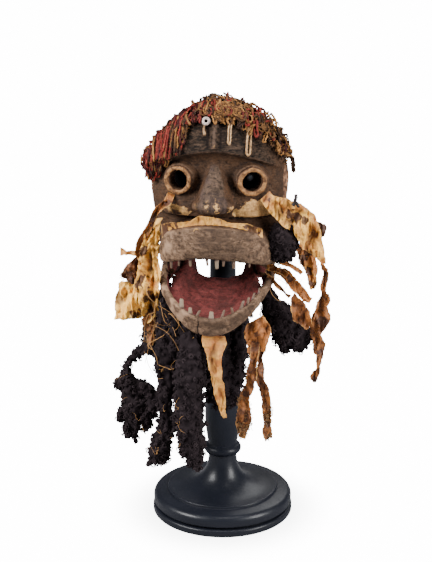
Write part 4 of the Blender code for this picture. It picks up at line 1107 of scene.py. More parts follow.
ring_wood = ring_finish()
for side, word in ((-1, "left"), (1, "right")):
    place = eye_frame(side, RING_GAP)
    rings = []
    side_shade = []
    ring_profile = [(0.0, 0.0), (0.0, 0.68), (0.07, 0.86), (0.16, 0.96), (0.35, 1.0), (0.65, 1.0)]
    ring_profile += [(0.84, 0.95), (0.94, 0.84), (1.0, 0.66), (1.0, 0.0)]
    angles = np.linspace(0, math.tau, RING_SIDES, endpoint=False)
    circle = np.stack([np.cos(angles), np.sin(angles), 0 * angles], -1)
    wander = 0.03 * np.sin(2 * angles + side) + 0.05 * rough_field(circle, 2.2, 3 + side, 2)
    inner = EYE_HOLE_RADIUS * (1 + wander)
    wander = 0.02 * np.sin(2 * angles + 1.0) + 0.045 * rough_field(circle, 2.6, 11 + side, 2)
    outer = RING_RADIUS * (1 + wander)
    inner += 0.0006 * np.cos(angles - 0.6)
    for across, up in ring_profile:
        radius = between(inner, outer, across)
        height = RING_THICKNESS * up * (1 + 0.1 * rough_field(circle, 1.6, 23 + side, 1) * (up > 0))
        rings.append(placed_ring(place, radius, angles, height))
        # painted shade on the ring's bore and outer side
        side_shade += [1.0 if across in (0.0, 1.0) else 0.0] * len(angles)
    faces = wrapped_faces(len(rings), len(angles))
    eye_ring = piece_of(f"worn_ring_{word}", np.array(rings).reshape(-1, 3), faces, ring_wood, sharp=50)
    paint(eye_ring.data, "grime", side_shade)
    settle(eye_ring, "pale_ring", f"eye_ring_{word}")


# The teeth: pegs whittled from wood and bone, pushed into holes along both lips. Some are long
# and square, some are broken short, and they lean as they were set.
# degrees round the lip, length, width, lean sideways, lean forward, pale (0 to 1)
UPPER_TEETH = [
    (-49, 0.0078, 0.0036, 0.1, 0.05, 0.35),
    (-36, 0.0062, 0.003, -0.05, 0.0, 0.2),
    (-22, 0.0076, 0.0035, 0.08, 0.05, 0.45),
    (-4, 0.0076, 0.0032, 0.12, 0.0, 0.45),
    (6, 0.0105, 0.0046, 0.02, 0.05, 0.75),
    (13, 0.0072, 0.0032, -0.06, 0.0, 0.3),
    (23, 0.0086, 0.0038, 0.04, 0.02, 0.2),
    (41, 0.0048, 0.0029, 0.0, 0.0, 0.15),
]
LOWER_TEETH = [
    (-31, 0.01, 0.0056, -0.05, -0.15, 0.85),
    (-21, 0.0068, 0.005, -0.1, -0.1, 0.7),
    (-14, 0.0074, 0.0036, 0.45, -0.05, 0.3),
    (2, 0.008, 0.0058, 0.03, -0.12, 0.75),
    (14, 0.0084, 0.0031, 0.3, -0.1, 0.25),
    (24, 0.0072, 0.0034, -0.22, 0.05, 0.25),
    (33, 0.0088, 0.0042, 0.35, -0.1, 0.2),
    (41, 0.0074, 0.0034, 0.3, -0.05, 0.35),
    (49, 0.007, 0.0032, 0.35, -0.05, 0.15),
    (58, 0.0056, 0.003, 0.25, 0.0, 0.15),
]


def tooth_finish():
    mix = Finish("whittled_tooth")
    streak = mix.grain(1500, 4, 0.6, vector=mix.stretched((1.0, 1.0, 0.25)))
    mottle = mix.grain(260, 4, 0.6)
    pale = mix.painted("pale")
    dull = mix.blend(streak, (0.036, 0.018, 0.01), (0.14, 0.078, 0.042))
    bright = mix.blend(streak, (0.085, 0.055, 0.034), (0.27, 0.195, 0.125))
    colour = mix.over(dull, pale + 0.5 * (mottle - 0.5), 0.25, 0.8, bright)
    # painted shade at the root of the peg, where it goes into the lip
    colour = mix.blend(mix.painted("grime"), colour, (0.05, 0.018, 0.012))
    return mix.set(Base_Color=colour, Roughness=0.42 + 0.25 * mottle, Normal=mix.bump(streak, 0.0003))


tooth_wood = tooth_finish()


def whittled_peg(name, seat, aim, across, length, width, lean, pale, seed):
    """A faceted peg from below its seat to a blunt chipped end."""
    out = aim.normalized()
    side = (across - out * across.dot(out)).normalized()
    other = out.cross(side)
    sides = 8
    points = []
    root_shade = []
    stations = [
        (-0.22, 1.02), (0.0, 1.06), (0.18, 1.0), (0.45, 0.92), (0.7, 0.88), (0.88, 0.8), (0.97, 0.68),
        (1.0, 0.45),
    ]
    for k, (share, girth) in enumerate(stations):
        for i in range(sides):
            a = math.tau * (i + 0.5) / sides
            square = 1.0 / max(abs(math.cos(a)), abs(math.sin(a))) ** 0.55
            chip = 1 + 0.1 * noise.noise(Vector((i * 1.7, k * 0.9, seed * 3.1)))
            reach = width / 2 * girth * square * chip
            tip = 0.1 * width * noise.noise(Vector((i * 2.3, seed * 1.9, 4.0))) if share > 0.8 else 0.0
            shift = side * (lean * share * length)
            points.append(
                seat + shift + side * (reach * math.cos(a)) + other * (0.78 * reach * math.sin(a))
                + out * (share * length + tip)
            )
            # painted shade near the root
            root_shade.append(fade(0.22, -0.02, share))
    tooth = piece_of(name, points, loft_faces(len(stations), sides), tooth_wood, sharp=38)
    paint(tooth.data, "grime", root_shade)
    paint(tooth.data, "pale", [pale] * len(points))
    return tooth


def along_lip(degrees):
    return Vector((math.cos(math.radians(degrees)), math.sin(math.radians(degrees)), 0))


for n, (degrees, length, width, lean, tip, pale) in enumerate(UPPER_TEETH, 1):
    start, inward, top, low, reach = lip_edge(degrees)
    depth = min(LIP_THICKNESS, 0.8 * reach) * 0.5
    seat = Vector((*(start + inward * depth).xy, low - 0.0004))
    aim = Vector((0, -tip, -1))
    tooth = whittled_peg(f"upper_peg_{n}", seat, aim, along_lip(degrees), length, width, lean, pale, n)
    settle(tooth, "tooth", f"tooth_upper_{n}")
for n, (degrees, length, width, lean, tip, pale) in enumerate(LOWER_TEETH, 1):
    section = jaw_rings[8 + int(round((degrees + 90) * 96 / 180))]
    seat = Vector(section[6]) - Vector((0, 0, 0.0004))
    inward = (Vector(section[7]) - Vector(section[5])).normalized()
    aim = Vector((0, 0, 1)) - inward * tip
    tooth = whittled_peg(
        f"lower_peg_{n}", seat, aim, along_lip(degrees), length, width, lean, pale, 20 + n
    )
    settle(tooth, "tooth", f"tooth_lower_{n}")


# The crown: a band of knotted cord and fibre wicks that covers the top and the sides of the
# forehead. Red-dyed at the left and on top, undyed tan to brown elsewhere, matted and dusty.
# Each wick is two strands twisted together, tied into the netting and left to hang.
CROWN_THICKNESS = 0.0108
CROWN_EDGE = 0.55
CROWN_LEAN = 0.2
CROWN_LEFT_RISE = 0.009
CROWN_RIGHT_RISE = 0.024
CROWN_FRONT_RISE = 0.0735
BEAD_X = -0.0095
BEAD_RISE = 0.0725
WICK_RADIUS = 0.0017
WICK_TURNS = 650
WICK_SPACING = 0.0037
WICK_ROWS = 14
WICK_STEP = 0.0026
CREST_STEP = 0.0014
CREST_RISE = 0.005
CLUMP_RISE = 0.0035
SIDE_FLARE = 0.0065
BEAD_CLEARANCE = 0.0058
COIL_COUNT = 130
COIL_STEPS = 12


def hairline(angle):
    right = fade(-1.0, 1.0, math.sin(angle))
    side = between(CROWN_LEFT_RISE, CROWN_RIGHT_RISE, right)
    return between(side, CROWN_FRONT_RISE, fade(between(0.42, 0.1, right), 0.95, math.cos(angle)))


front_columns = {}


def column_point(angle, rise):
    """A point of the carved front at a height on the line down the face at an angle."""
    key = round(angle, 3)
    if key not in front_columns:
        depth, sag = FACE_ROWS[:, 1], FACE_ROWS[:, 2]
        front_columns[key] = face_point(np.full(len(FACE_ROWS), key), FACE_ROWS[:, 0], depth, sag)
    column = front_columns[key]
    height = FACE_LEVEL + rise
    return Vector([float(np.interp(height, column[::-1, 2], column[::-1, axis])) for axis in range(3)])


def outward(point):
    x = point.x / FACE_HALF_WIDTH**2
    y = (point.y - RIM_Y) / FACE_ROWS[7][1] ** 2
    z = max(point.z - FACE_LEVEL, 0.0) / DOME_HEIGHT**2
    return Vector((x, y, z)).normalized()


def crown_place(angle, share, lift):
    """A place over the crown's base: share 0 at the top of the head, 1 at the hairline."""
    angle = min(max(angle, -math.pi / 2), math.pi / 2)
    top = FACE_ROWS[0][0]
    line = hairline(angle)
    if share <= 1:
        base = column_point(angle, between(top, line, max(share, 0.0)))
    else:
        base = column_point(angle, line - (share - 1) * 0.06)
    way = outward(base)
    if share < 0.12:
        way = (way + Vector((0, 0, 2.0 * (1 - share / 0.12)))).normalized()
    return base + way * lift, way


def twisted_tree(name):
    """Nodes that turn centre lines into twisted strands of a radius, a twist, a wave and a section."""
    tree = bpy.data.node_groups.new(name, "GeometryNodeTree")
    face = tree.interface
    face.new_socket("Geometry", in_out="INPUT", socket_type="NodeSocketGeometry")
    for label, kind, value in (
        ("Radius", "NodeSocketFloat", 0.001),
        ("Turns", "NodeSocketFloat", 100.0),
        ("Wave", "NodeSocketFloat", 0.0),
        ("Wave Scale", "NodeSocketFloat", 100.0),
        ("Lobes", "NodeSocketInt", 3),
        ("Hollow", "NodeSocketFloat", 0.6),
        ("Seed", "NodeSocketFloat", 0.0),
    ):
        socket = face.new_socket(label, in_out="INPUT", socket_type=kind)
        socket.default_value = value
    face.new_socket("Finish", in_out="INPUT", socket_type="NodeSocketMaterial")
    face.new_socket("Geometry", in_out="OUTPUT", socket_type="NodeSocketGeometry")

    def node(kind, settings=None, links=None):
        made = tree.nodes.new(kind)
        for key, value in (settings or {}).items():
            setattr(made, key, value)
        for key, value in (links or {}).items():
            if isinstance(value, bpy.types.NodeSocket):
                tree.links.new(value, made.inputs[key])
            else:
                made.inputs[key].default_value = value
        return made

    def scaled(vector, factor):
        return node(
            "ShaderNodeVectorMath", {"operation": "SCALE"}, {0: vector, "Scale": factor}
        ).outputs[0]

    def painted(name):
        return node("GeometryNodeInputNamedAttribute", {"data_type": "FLOAT"}, {"Name": name}).outputs[0]

    start = node("NodeGroupInput").outputs
    lines = node("GeometryNodeMeshToCurve", None, {"Mesh": start["Geometry"]})
    here = node("GeometryNodeInputPosition").outputs[0]
    field = {"Vector": scaled(here, start["Wave Scale"]), "W": start["Seed"], "Scale": 1.0, "Detail": 1.0}
    wander = node("ShaderNodeTexNoise", {"noise_dimensions": "4D"}, field)
    centred = node(
        "ShaderNodeVectorMath", {"operation": "SUBTRACT"}, {0: wander.outputs["Color"], 1: (0.5, 0.5, 0.5)}
    ).outputs[0]
    shift = scaled(scaled(centred, start["Wave"]), painted("loose"))
    moved = node("GeometryNodeSetPosition", None, {"Geometry": lines.outputs[0], "Offset": shift})
    along = node("GeometryNodeSplineParameter").outputs["Length"]
    twist = node("ShaderNodeMath", {"operation": "MULTIPLY"}, {0: along, 1: start["Turns"]}).outputs[0]
    tilted = node("GeometryNodeSetCurveTilt", None, {"Curve": moved.outputs[0], "Tilt": twist})
    girth = painted("girth")
    sized = node("GeometryNodeSetCurveRadius", None, {"Curve": tilted.outputs[0], "Radius": girth})
    small = node(
        "ShaderNodeMath", {"operation": "MULTIPLY"}, {0: start["Radius"], 1: start["Hollow"]}
    ).outputs[0]
    section = node(
        "GeometryNodeCurveStar", None,
        {"Points": start["Lobes"], "Inner Radius": small, "Outer Radius": start["Radius"]},
    )
    tube = node(
        "GeometryNodeCurveToMesh", None,
        {"Curve": sized.outputs[0], "Profile Curve": section.outputs["Curve"], "Fill Caps": True},
    )
    if "Scale" in tube.inputs:
        tree.links.new(girth, tube.inputs["Scale"])
    real = node("GeometryNodeRealizeInstances", None, {"Geometry": tube.outputs[0]})
    soft = node("GeometryNodeSetShadeSmooth", None, {"Geometry": real.outputs[0]})
    done = node(
        "GeometryNodeSetMaterial", None, {"Geometry": soft.outputs[0], "Material": start["Finish"]}
    )
    node("NodeGroupOutput", None, {"Geometry": done.outputs[0]})
    return tree


strand_tree = twisted_tree("twisted_strands")


def fibre(points, girth, loose, **painted):
    """A centre line with its girth, how freely it strays, and its painted values."""
    count = len(points)
    line = {"points": points, "painted": painted}
    line["girth"] = np.broadcast_to(girth, count)
    line["loose"] = np.broadcast_to(loose, count)
    return line


def strands(
    name, lines, finish, radius, turns=0.0, wave=0.0, wave_scale=100.0, lobes=3, hollow=0.6, seed=0.0
):
    """One mesh of many strands, each from its centre line."""
    points = []
    edges = []
    layers = {"girth": [], "loose": []}
    for line in lines:
        start = len(points)
        count = len(line["points"])
        points += [tuple(p) for p in line["points"]]
        edges += [(start + k, start + k + 1) for k in range(count - 1)]
        layers["girth"] += list(line["girth"])
        layers["loose"] += list(line["loose"])
        for key, value in line["painted"].items():
            layers.setdefault(key, [])
            layers[key] += list(np.broadcast_to(value, count))
    mesh = bpy.data.meshes.new(name)
    mesh.from_pydata(points, edges, [])
    for key, values in layers.items():
        paint(mesh, key, values)
    piece = placed(name, mesh)
    maker = piece.modifiers.new("strands", "NODES")
    maker.node_group = strand_tree
    inputs = {
        item.name: item.identifier for item in strand_tree.interface.items_tree if item.in_out == "INPUT"
    }
    values = {"Radius": radius, "Turns": turns, "Wave": wave, "Wave Scale": wave_scale, "Lobes": lobes}
    values.update({"Hollow": hollow, "Seed": seed, "Finish": finish})
    for label, value in values.items():
        maker[inputs[label]] = value
    made_plain(piece)
    return piece


def fibre_finish():
    mix = Finish("dyed_fibre_wicks")
    dye, shade = mix.painted("dye"), mix.painted("shade")
    fine = mix.grain(1800, 3, 0.6)
    mottle = mix.grain(240, 5, 0.65)
    tan = mix.over((0.022, 0.009, 0.005), shade + 0.5 * (mottle - 0.5), 0.0, 1.0, (0.35, 0.158, 0.046))
    red = mix.over((0.03, 0.004, 0.005), shade + 0.6 * (mottle - 0.5), 0.0, 1.0, (0.245, 0.03, 0.02))
    colour = mix.over(tan, dye + 0.35 * (mottle - 0.5), 0.3, 0.7, red)
    colour = mix.over(colour, fine, 0.35, 0.75, (0.02, 0.01, 0.006), 0.35)
    colour = mix.over(colour, mix.grain(520, 3), 0.6, 0.72, (0.3, 0.2, 0.12), 0.35)
    return mix.set(
        Base_Color=colour, Roughness=0.85, Normal=mix.bump(fine, 0.0004), Specular_IOR_Level=0.2
    )


wick_fibre = fibre_finish()
crown_random = np.random.default_rng(41)

base_rows, base_columns = 26, 73
outer_rows = []
inner_rows = []
for j in range(base_rows):
    share = j / (base_rows - 1)
    outer_row = []
    inner_row = []
    for i in range(base_columns):
        angle = math.radians(-90 + 180 * i / (base_columns - 1))
        thin = 1 - (1 - CROWN_EDGE) * share**3
        lean = 1 + CROWN_LEAN * math.sin(angle)
        place, way = crown_place(angle, share, CROWN_THICKNESS * 0.55 * thin * lean)
        lump = 0.0016 * noise.fractal(place * 160, 0.8, 2.0, 3)
        outer_row.append(place + way * lump)
        inner_row.append(crown_place(angle, share, 0.0006)[0])
    outer_rows.append(outer_row)
    inner_rows.append(inner_row)
netting_points = np.array([[tuple(p) for p in row] for row in outer_rows + inner_rows]).reshape(-1, 3)
netting = piece_of("crown_netting", netting_points, shell_faces(base_rows, base_columns), wick_fibre)
# the netting is painted dark: painted shade in the gaps between the wicks
paint(netting.data, "dye", 0.25 + 0.3 * rough_field(netting_points, 60, 2))
paint(netting.data, "shade", 0.1 + 0.25 * rough_field(netting_points, 130, 5))
settle(netting, "dyed_fibre", "fibre_crown")


def dye_at(place):
    """How red the fibre is at a place."""
    left = fade(-0.022, -0.034, place.x) * (0.62 + 0.38 * fade(-0.052, -0.066, place.x))
    left = max(left, 0.62 * fade(-0.004, -0.016, place.x) * fade(0.5, 0.512, place.z))
    corner = fade(0.07, 0.08, place.x) * fade(0.47, 0.485, place.z) * fade(0.515, 0.5, place.z)
    top = 0.55 * fade(0.515, 0.528, place.z) * fade(0.045, 0.03, abs(place.x + 0.006))
    right_top = 0.62 * fade(0.024, 0.036, place.x) * fade(0.496, 0.508, place.z)
    return max(left, corner, top, right_top)


table_angles = np.radians(np.linspace(-90, 90, 61))
table_rises = np.linspace(-0.02, FACE_ROWS[0][0], 60)
across_table = np.array([[column_point(a, r).x for a in table_angles] for r in table_rises])


def fibre_place(x, rise, lift):
    """A place over the carved front at a height and a distance from the middle."""
    k = float(np.clip(np.interp(rise, table_rises, np.arange(60)), 0, 58.999))
    row = across_table[int(k)] + (across_table[int(k) + 1] - across_table[int(k)]) * (k % 1)
    base = column_point(float(np.interp(x, row, table_angles)), rise)
    way = outward(base)
    if rise > 0.07:
        way = (way + Vector((0, 0, 60.0 * (rise - 0.07)))).normalized()
    return base + way * lift


# where the hanging wicks end: distance from the middle and height over the face's level
FRINGE = [
    (-0.08, -0.002), (-0.07, 0.001), (-0.06, 0.008), (-0.05, 0.023), (-0.042, 0.032), (-0.035, 0.038),
    (-0.032, 0.062), (-0.02, 0.067), (0.012, 0.068), (0.021, 0.065), (0.027, 0.058), (0.045, 0.051),
    (0.055, 0.046), (0.065, 0.033), (0.073, 0.02), (0.08, 0.01),
]


def wick(place, length, drift, high, loop):
    """The line of one wick that hangs over the surface from its knot."""
    x, rise = place.x, place.z - FACE_LEVEL
    line = [fibre_place(x, rise, high * 0.35)]
    ragged = crown_random.uniform(0, 1) ** 1.6 * (0.02 if x < -0.03 else 0.008)
    aside = crown_random.uniform(0.001, 0.0022)
    gone = 0.0
    last = fibre_place(x, rise, high)
    while gone < length and len(line) < 16:
        rise -= CREST_STEP if rise > 0.062 else WICK_STEP
        x += drift * WICK_STEP
        spot = fibre_place(x, rise, high * (1 - 0.25 * gone / length))
        gone += (spot - last).length
        last = spot
        line.append(spot)
        if rise < np.interp(x, *zip(*FRINGE)) + ragged:
            break
    if loop:
        back = [spot + Vector((2 * aside, 0, 0)) for spot in line[::-1]]
        middle = (line[-1] + back[0]) / 2 - Vector((0, 0, 0.0012))
        line = line + [middle] + back
    return line


wick_lines = []
for share in np.linspace(0.0, 0.97, WICK_ROWS):
    row = [crown_place(a, share, 0.006)[0] for a in table_angles]
    run = np.concatenate([[0], np.cumsum([(b - a).length for a, b in zip(row, row[1:])])])
    count = max(int(run[-1] / WICK_SPACING), 4)
    for k in range(count):
        at = (k + crown_random.uniform(-0.5, 1.5)) / count * run[-1]
        angle = float(np.interp(at, run, table_angles))
        place = crown_place(angle, share, 0.0)[0]
        dye = 1.0 if crown_random.uniform() < dye_at(place) * 0.8 + 0.05 else 0.0
        shade = crown_random.uniform(0.0, 1.0) ** 1.25
        slope = 0.75 * fade(0.0, 0.05, place.x) - 0.15 * fade(0.0, -0.05, place.x)
        hanging = fade(-0.024, -0.036, place.x) * fade(-0.076, -0.066, place.x)
        drift = crown_random.normal(slope, between(0.55, 0.12, hanging))
        length = crown_random.uniform(0.008, 0.019) + 0.025 * hanging
        if share > 0.85:
            length = crown_random.uniform(0.008, 0.019) + 0.022 * hanging
        loop = crown_random.uniform() < between(0.36, 0.06, hanging)
        thick = CROWN_THICKNESS * (1 - (1 - CROWN_EDGE) * share**3) * (1 + CROWN_LEAN * math.sin(angle))
        clump = CLUMP_RISE * max(noise.noise(place * 75) + 0.15, 0.0)
        crest = CREST_RISE * float(bell(place.x + 0.008, 0.014)) * fade(0.07, 0.08, place.z - FACE_LEVEL)
        flare = SIDE_FLARE * fade(-0.058, -0.078, place.x)
        high = thick * crown_random.uniform(0.45, 1.0) + clump + crest + flare
        line = wick(place, length, drift, high, loop)
        bead_gap = min(math.hypot(p.x - BEAD_X, p.z - FACE_LEVEL - BEAD_RISE) for p in line)
        if bead_gap < BEAD_CLEARANCE and share > 0.3:
            continue
        stations = len(line)
        girth = np.full(stations, crown_random.uniform(0.7, 1.15))
        girth[0] *= 0.6
        girth[-1] *= 0.7
        shades = np.full(stations, shade)
        if crown_random.uniform() < 0.4:
            shades = np.linspace(shade, 0.0, stations)
        dyed = np.full(stations, dye)
        if hanging > 0.3 and crown_random.uniform() < 0.5:
            dyed[int(0.72 * stations) :] = 0.0
        wick_lines.append(fibre(line, girth, between(0.85, 0.35, hanging), dye=dyed, shade=shades))

# loose coils that lie over the knots
for k in range(COIL_COUNT):
    angle = math.radians(crown_random.uniform(-24, 64))
    share = crown_random.uniform(0.1, 0.9)
    turn, size = crown_random.uniform(0, math.tau), crown_random.uniform(0.0024, 0.0052)
    sweep_angle = crown_random.uniform(3.6, 7.2)
    dye = 1.0 if crown_random.uniform() < 0.18 else 0.0
    shade = crown_random.uniform(0.05, 0.85)
    points = []
    for step in range(COIL_STEPS):
        a = turn + sweep_angle * step / (COIL_STEPS - 1)
        spot, way = crown_place(angle, share, CROWN_THICKNESS * (1.02 + 0.14 * math.sin(a * 0.5 + k)))
        aside = way.cross(Vector((0, 0, 1))).normalized()
        points.append(spot + aside * (size * math.cos(a)) + aside.cross(way) * (1.3 * size * math.sin(a)))
    wick_lines.append(fibre(points, crown_random.uniform(0.65, 0.95), 0.4, dye=dye, shade=shade))
half = len(wick_lines) // 2
for n, group in enumerate((wick_lines[:half], wick_lines[half:]), 1):
    wicks = strands(
        f"crown_wicks_{n}", group, wick_fibre, WICK_RADIUS, turns=WICK_TURNS, wave=0.0062, wave_scale=140,
        lobes=2, hollow=0.55, seed=3.0 * n,
    )
    settle(wicks, "dyed_fibre")


def on_forehead(x, rise, proud):
    """A place before the carved forehead, and the way out of it."""
    turns = np.linspace(-1.2, 1.2, 61)
    turn = float(np.interp(x, [column_point(t, rise).x for t in turns], turns))
    place = column_point(turn, rise)
    way = outward(place)
    return place + way * proud, way


# The ring bead: a white shell disc with a dark hole, cut by hand, and tied at the front of the
# hairline with a scrap of pale hide below it.
BEAD_PROUD = 0.0085
BEAD_RADIUS = 0.005
BEAD_HOLE = 0.0017
BEAD_THICKNESS = 0.0026
BEAD_SIDES = 40


def shell_finish():
    mix = Finish("worn_shell")
    mottle = mix.grain(500, 4, 0.6)
    colour = mix.over((0.2, 0.145, 0.125), mottle, 0.35, 0.7, (0.56, 0.47, 0.42))
    # painted shade in the hole and under the disc
    colour = mix.blend(mix.painted("grime"), colour, (0.03, 0.018, 0.014))
    return mix.set(Base_Color=colour, Roughness=0.3 + 0.2 * mottle, Normal=mix.bump(mottle, 0.0002))


bead_place = on_forehead(BEAD_X, BEAD_RISE, 0.0)[0] - Vector((0, BEAD_PROUD, 0))
bead_way = Vector((-0.05, -1.0, 0.3)).normalized()
bead_frame = Matrix.Translation(bead_place) @ bead_way.to_track_quat("Z", "Y").to_matrix().to_4x4()
bead_profile = [
    (BEAD_HOLE, 0.0), (BEAD_HOLE, 0.0018), (0.0021, 0.0024), (0.003, BEAD_THICKNESS), (0.004, 0.0024)
]
bead_profile += [(0.0047, 0.0018), (BEAD_RADIUS, 0.001), (0.0048, 0.0)]
bead_rings = []
bead_hole_shade = []
for radius, height in bead_profile:
    ring = []
    for a in np.linspace(0, math.tau, BEAD_SIDES, endpoint=False):
        wobble = 1 + 0.07 * noise.noise(Vector((math.cos(a) * 1.5, math.sin(a) * 1.5, 5.0)))
        reach = radius * wobble
        ring.append(tuple(bead_frame @ Vector((reach * math.cos(a), reach * math.sin(a), height))))
        # painted shade in the hole and on the underside
        bead_hole_shade.append(1.0 if radius <= BEAD_HOLE or height == 0.0 else 0.0)
    bead_rings.append(ring)
bead_faces = wrapped_faces(len(bead_rings), BEAD_SIDES)
bead = piece_of("shell_bead", np.array(bead_rings).reshape(-1, 3), bead_faces, shell_finish(), sharp=50)
paint(bead.data, "grime", bead_hole_shade)
settle(bead, "shell", "forehead_bead")


# The pendant loops: two doubled thongs of pale rawhide that hang from the hairline, twisted and
# dried stiff. The right one is longer and thicker. A scrap of the same hide hangs from the bead.
LOOP_PROUD = 0.0022
THONG_RADIUS = 0.0012
LOOP_STEPS = 27
SCRAP_STEPS = 10
THONG_WAVE = {"wave": 0.001, "wave_scale": 200, "hollow": 0.7}


def thong_finish():
    mix = Finish("pale_rawhide_thong")
    mottle = mix.grain(420, 4, 0.6)
    dry = mix.over((0.22, 0.115, 0.048), mottle, 0.3, 0.7, (0.54, 0.33, 0.155))
    colour = mix.blend(mix.painted("shade"), (0.07, 0.035, 0.02), dry)
    return mix.set(
        Base_Color=colour, Roughness=0.55, Normal=mix.bump(mottle, 0.0003), Specular_IOR_Level=0.3
    )


rawhide_thong = thong_finish()
for word, x, top, length, wide, thick in (
    ("left", 0.0165, 0.0725, 0.025, 0.0013, 0.95),
    ("right", 0.037, 0.063, 0.028, 0.0019, 1.25),
):
    line = []
    for k in range(LOOP_STEPS):
        turn = math.pi * k / (LOOP_STEPS - 1)
        down = max(math.sin(turn), 0.0) ** 0.55
        side = math.cos(turn)
        side = math.copysign(min(abs(side) * 1.7, 1.0) ** 0.8, side)
        lift = LOOP_PROUD + 0.004 * (1 - down) ** 2
        line.append(on_forehead(x + wide * side, top - length * down, lift)[0])
    thong = fibre(line, thick, 0.5, shade=1.0)
    loop = strands(f"thong_loop_{word}", [thong], rawhide_thong, THONG_RADIUS, turns=500, **THONG_WAVE)
    settle(loop, "rawhide", f"pendant_loop_{word}")
scrap_line = []
for u in np.linspace(0, 1, SCRAP_STEPS):
    away = Vector((-0.0015 - 0.0012 * math.sin(4 * u), 0.0012 - 0.009 * u, -0.004 - 0.01 * u))
    scrap_line.append(bead_place + away)
scrap = fibre(scrap_line, np.linspace(1.0, 1.9, SCRAP_STEPS), 0.4, shade=0.45)
bead_scrap = strands("bead_scrap", [scrap], rawhide_thong, 0.001, turns=100, **THONG_WAVE)
settle(bead_scrap, "rawhide")


# The hides: scraps and strips of rawhide with some hair left on, cut by hand and dried hard.
# They are crumpled, curled at the edges, torn, and run from cream and gold to dark brown.
# Rows give both edges of a piece in millimetres: left and height, right and height from the
# middle between the eyes, and the distance from the rim of the mask.
HIDE_THICKNESS = 0.0011
MILLIMETRES = 1000


def hide_finish():
    mix = Finish("crumpled_rawhide")
    tone, fold, brown, edge = (mix.painted(name) for name in ("tone", "fold", "brown", "edge"))
    wild = 1.0 - mix.painted("calm")
    mottle = mix.grain(95, 6, 0.64, 0.6)
    cloud = mix.grain(42, 4, 0.6, 0.5)
    fine = mix.grain(620, 5, 0.68)
    hair = mix.grain(420, 5, 0.7, 0.8, mix.stretched((1.0, 1.0, 0.22)))
    spot = mix.step(mix.cells(330), 0.24, 0.1) * mix.step(cloud, 0.5, 0.6)
    worth = tone + wild * (1.05 * (mottle - 0.5) + 0.6 * (cloud - 0.5) + 0.35 * (hair - 0.5))
    colour = mix.over((0.055, 0.017, 0.006), worth, 0.0, 0.55, (0.34, 0.112, 0.02))
    colour = mix.over(colour, worth, 0.5, 1.02, (0.96, 0.54, 0.105))
    colour = mix.blend(mix.step(hair, 0.52, 0.7) * wild * 0.42, colour, (0.16, 0.055, 0.017))
    # painted shade in the folds of the hide
    colour = mix.over(colour, fold, 0.35, 1.0, (0.085, 0.028, 0.009), 0.8)
    colour = mix.over(
        colour, brown + 0.5 * (mottle - 0.5) + 0.3 * (hair - 0.5), 0.3, 0.62, (0.052, 0.018, 0.008), 0.94
    )
    colour = mix.blend(spot * 0.8, colour, (0.04, 0.015, 0.008))
    colour = mix.blend(
        mix.step(edge, 0.62, 0.95) * mix.step(mottle, 0.4, 0.6) * 0.55, colour, (0.7, 0.39, 0.12)
    )
    rough = 0.4 + 0.3 * mottle
    height = 0.7 * mottle + 0.6 * hair + 0.3 * fine
    return mix.set(
        Base_Color=colour, Roughness=rough, Normal=mix.bump(height, 0.0013), Specular_IOR_Level=0.35
    )


rawhide = hide_finish()


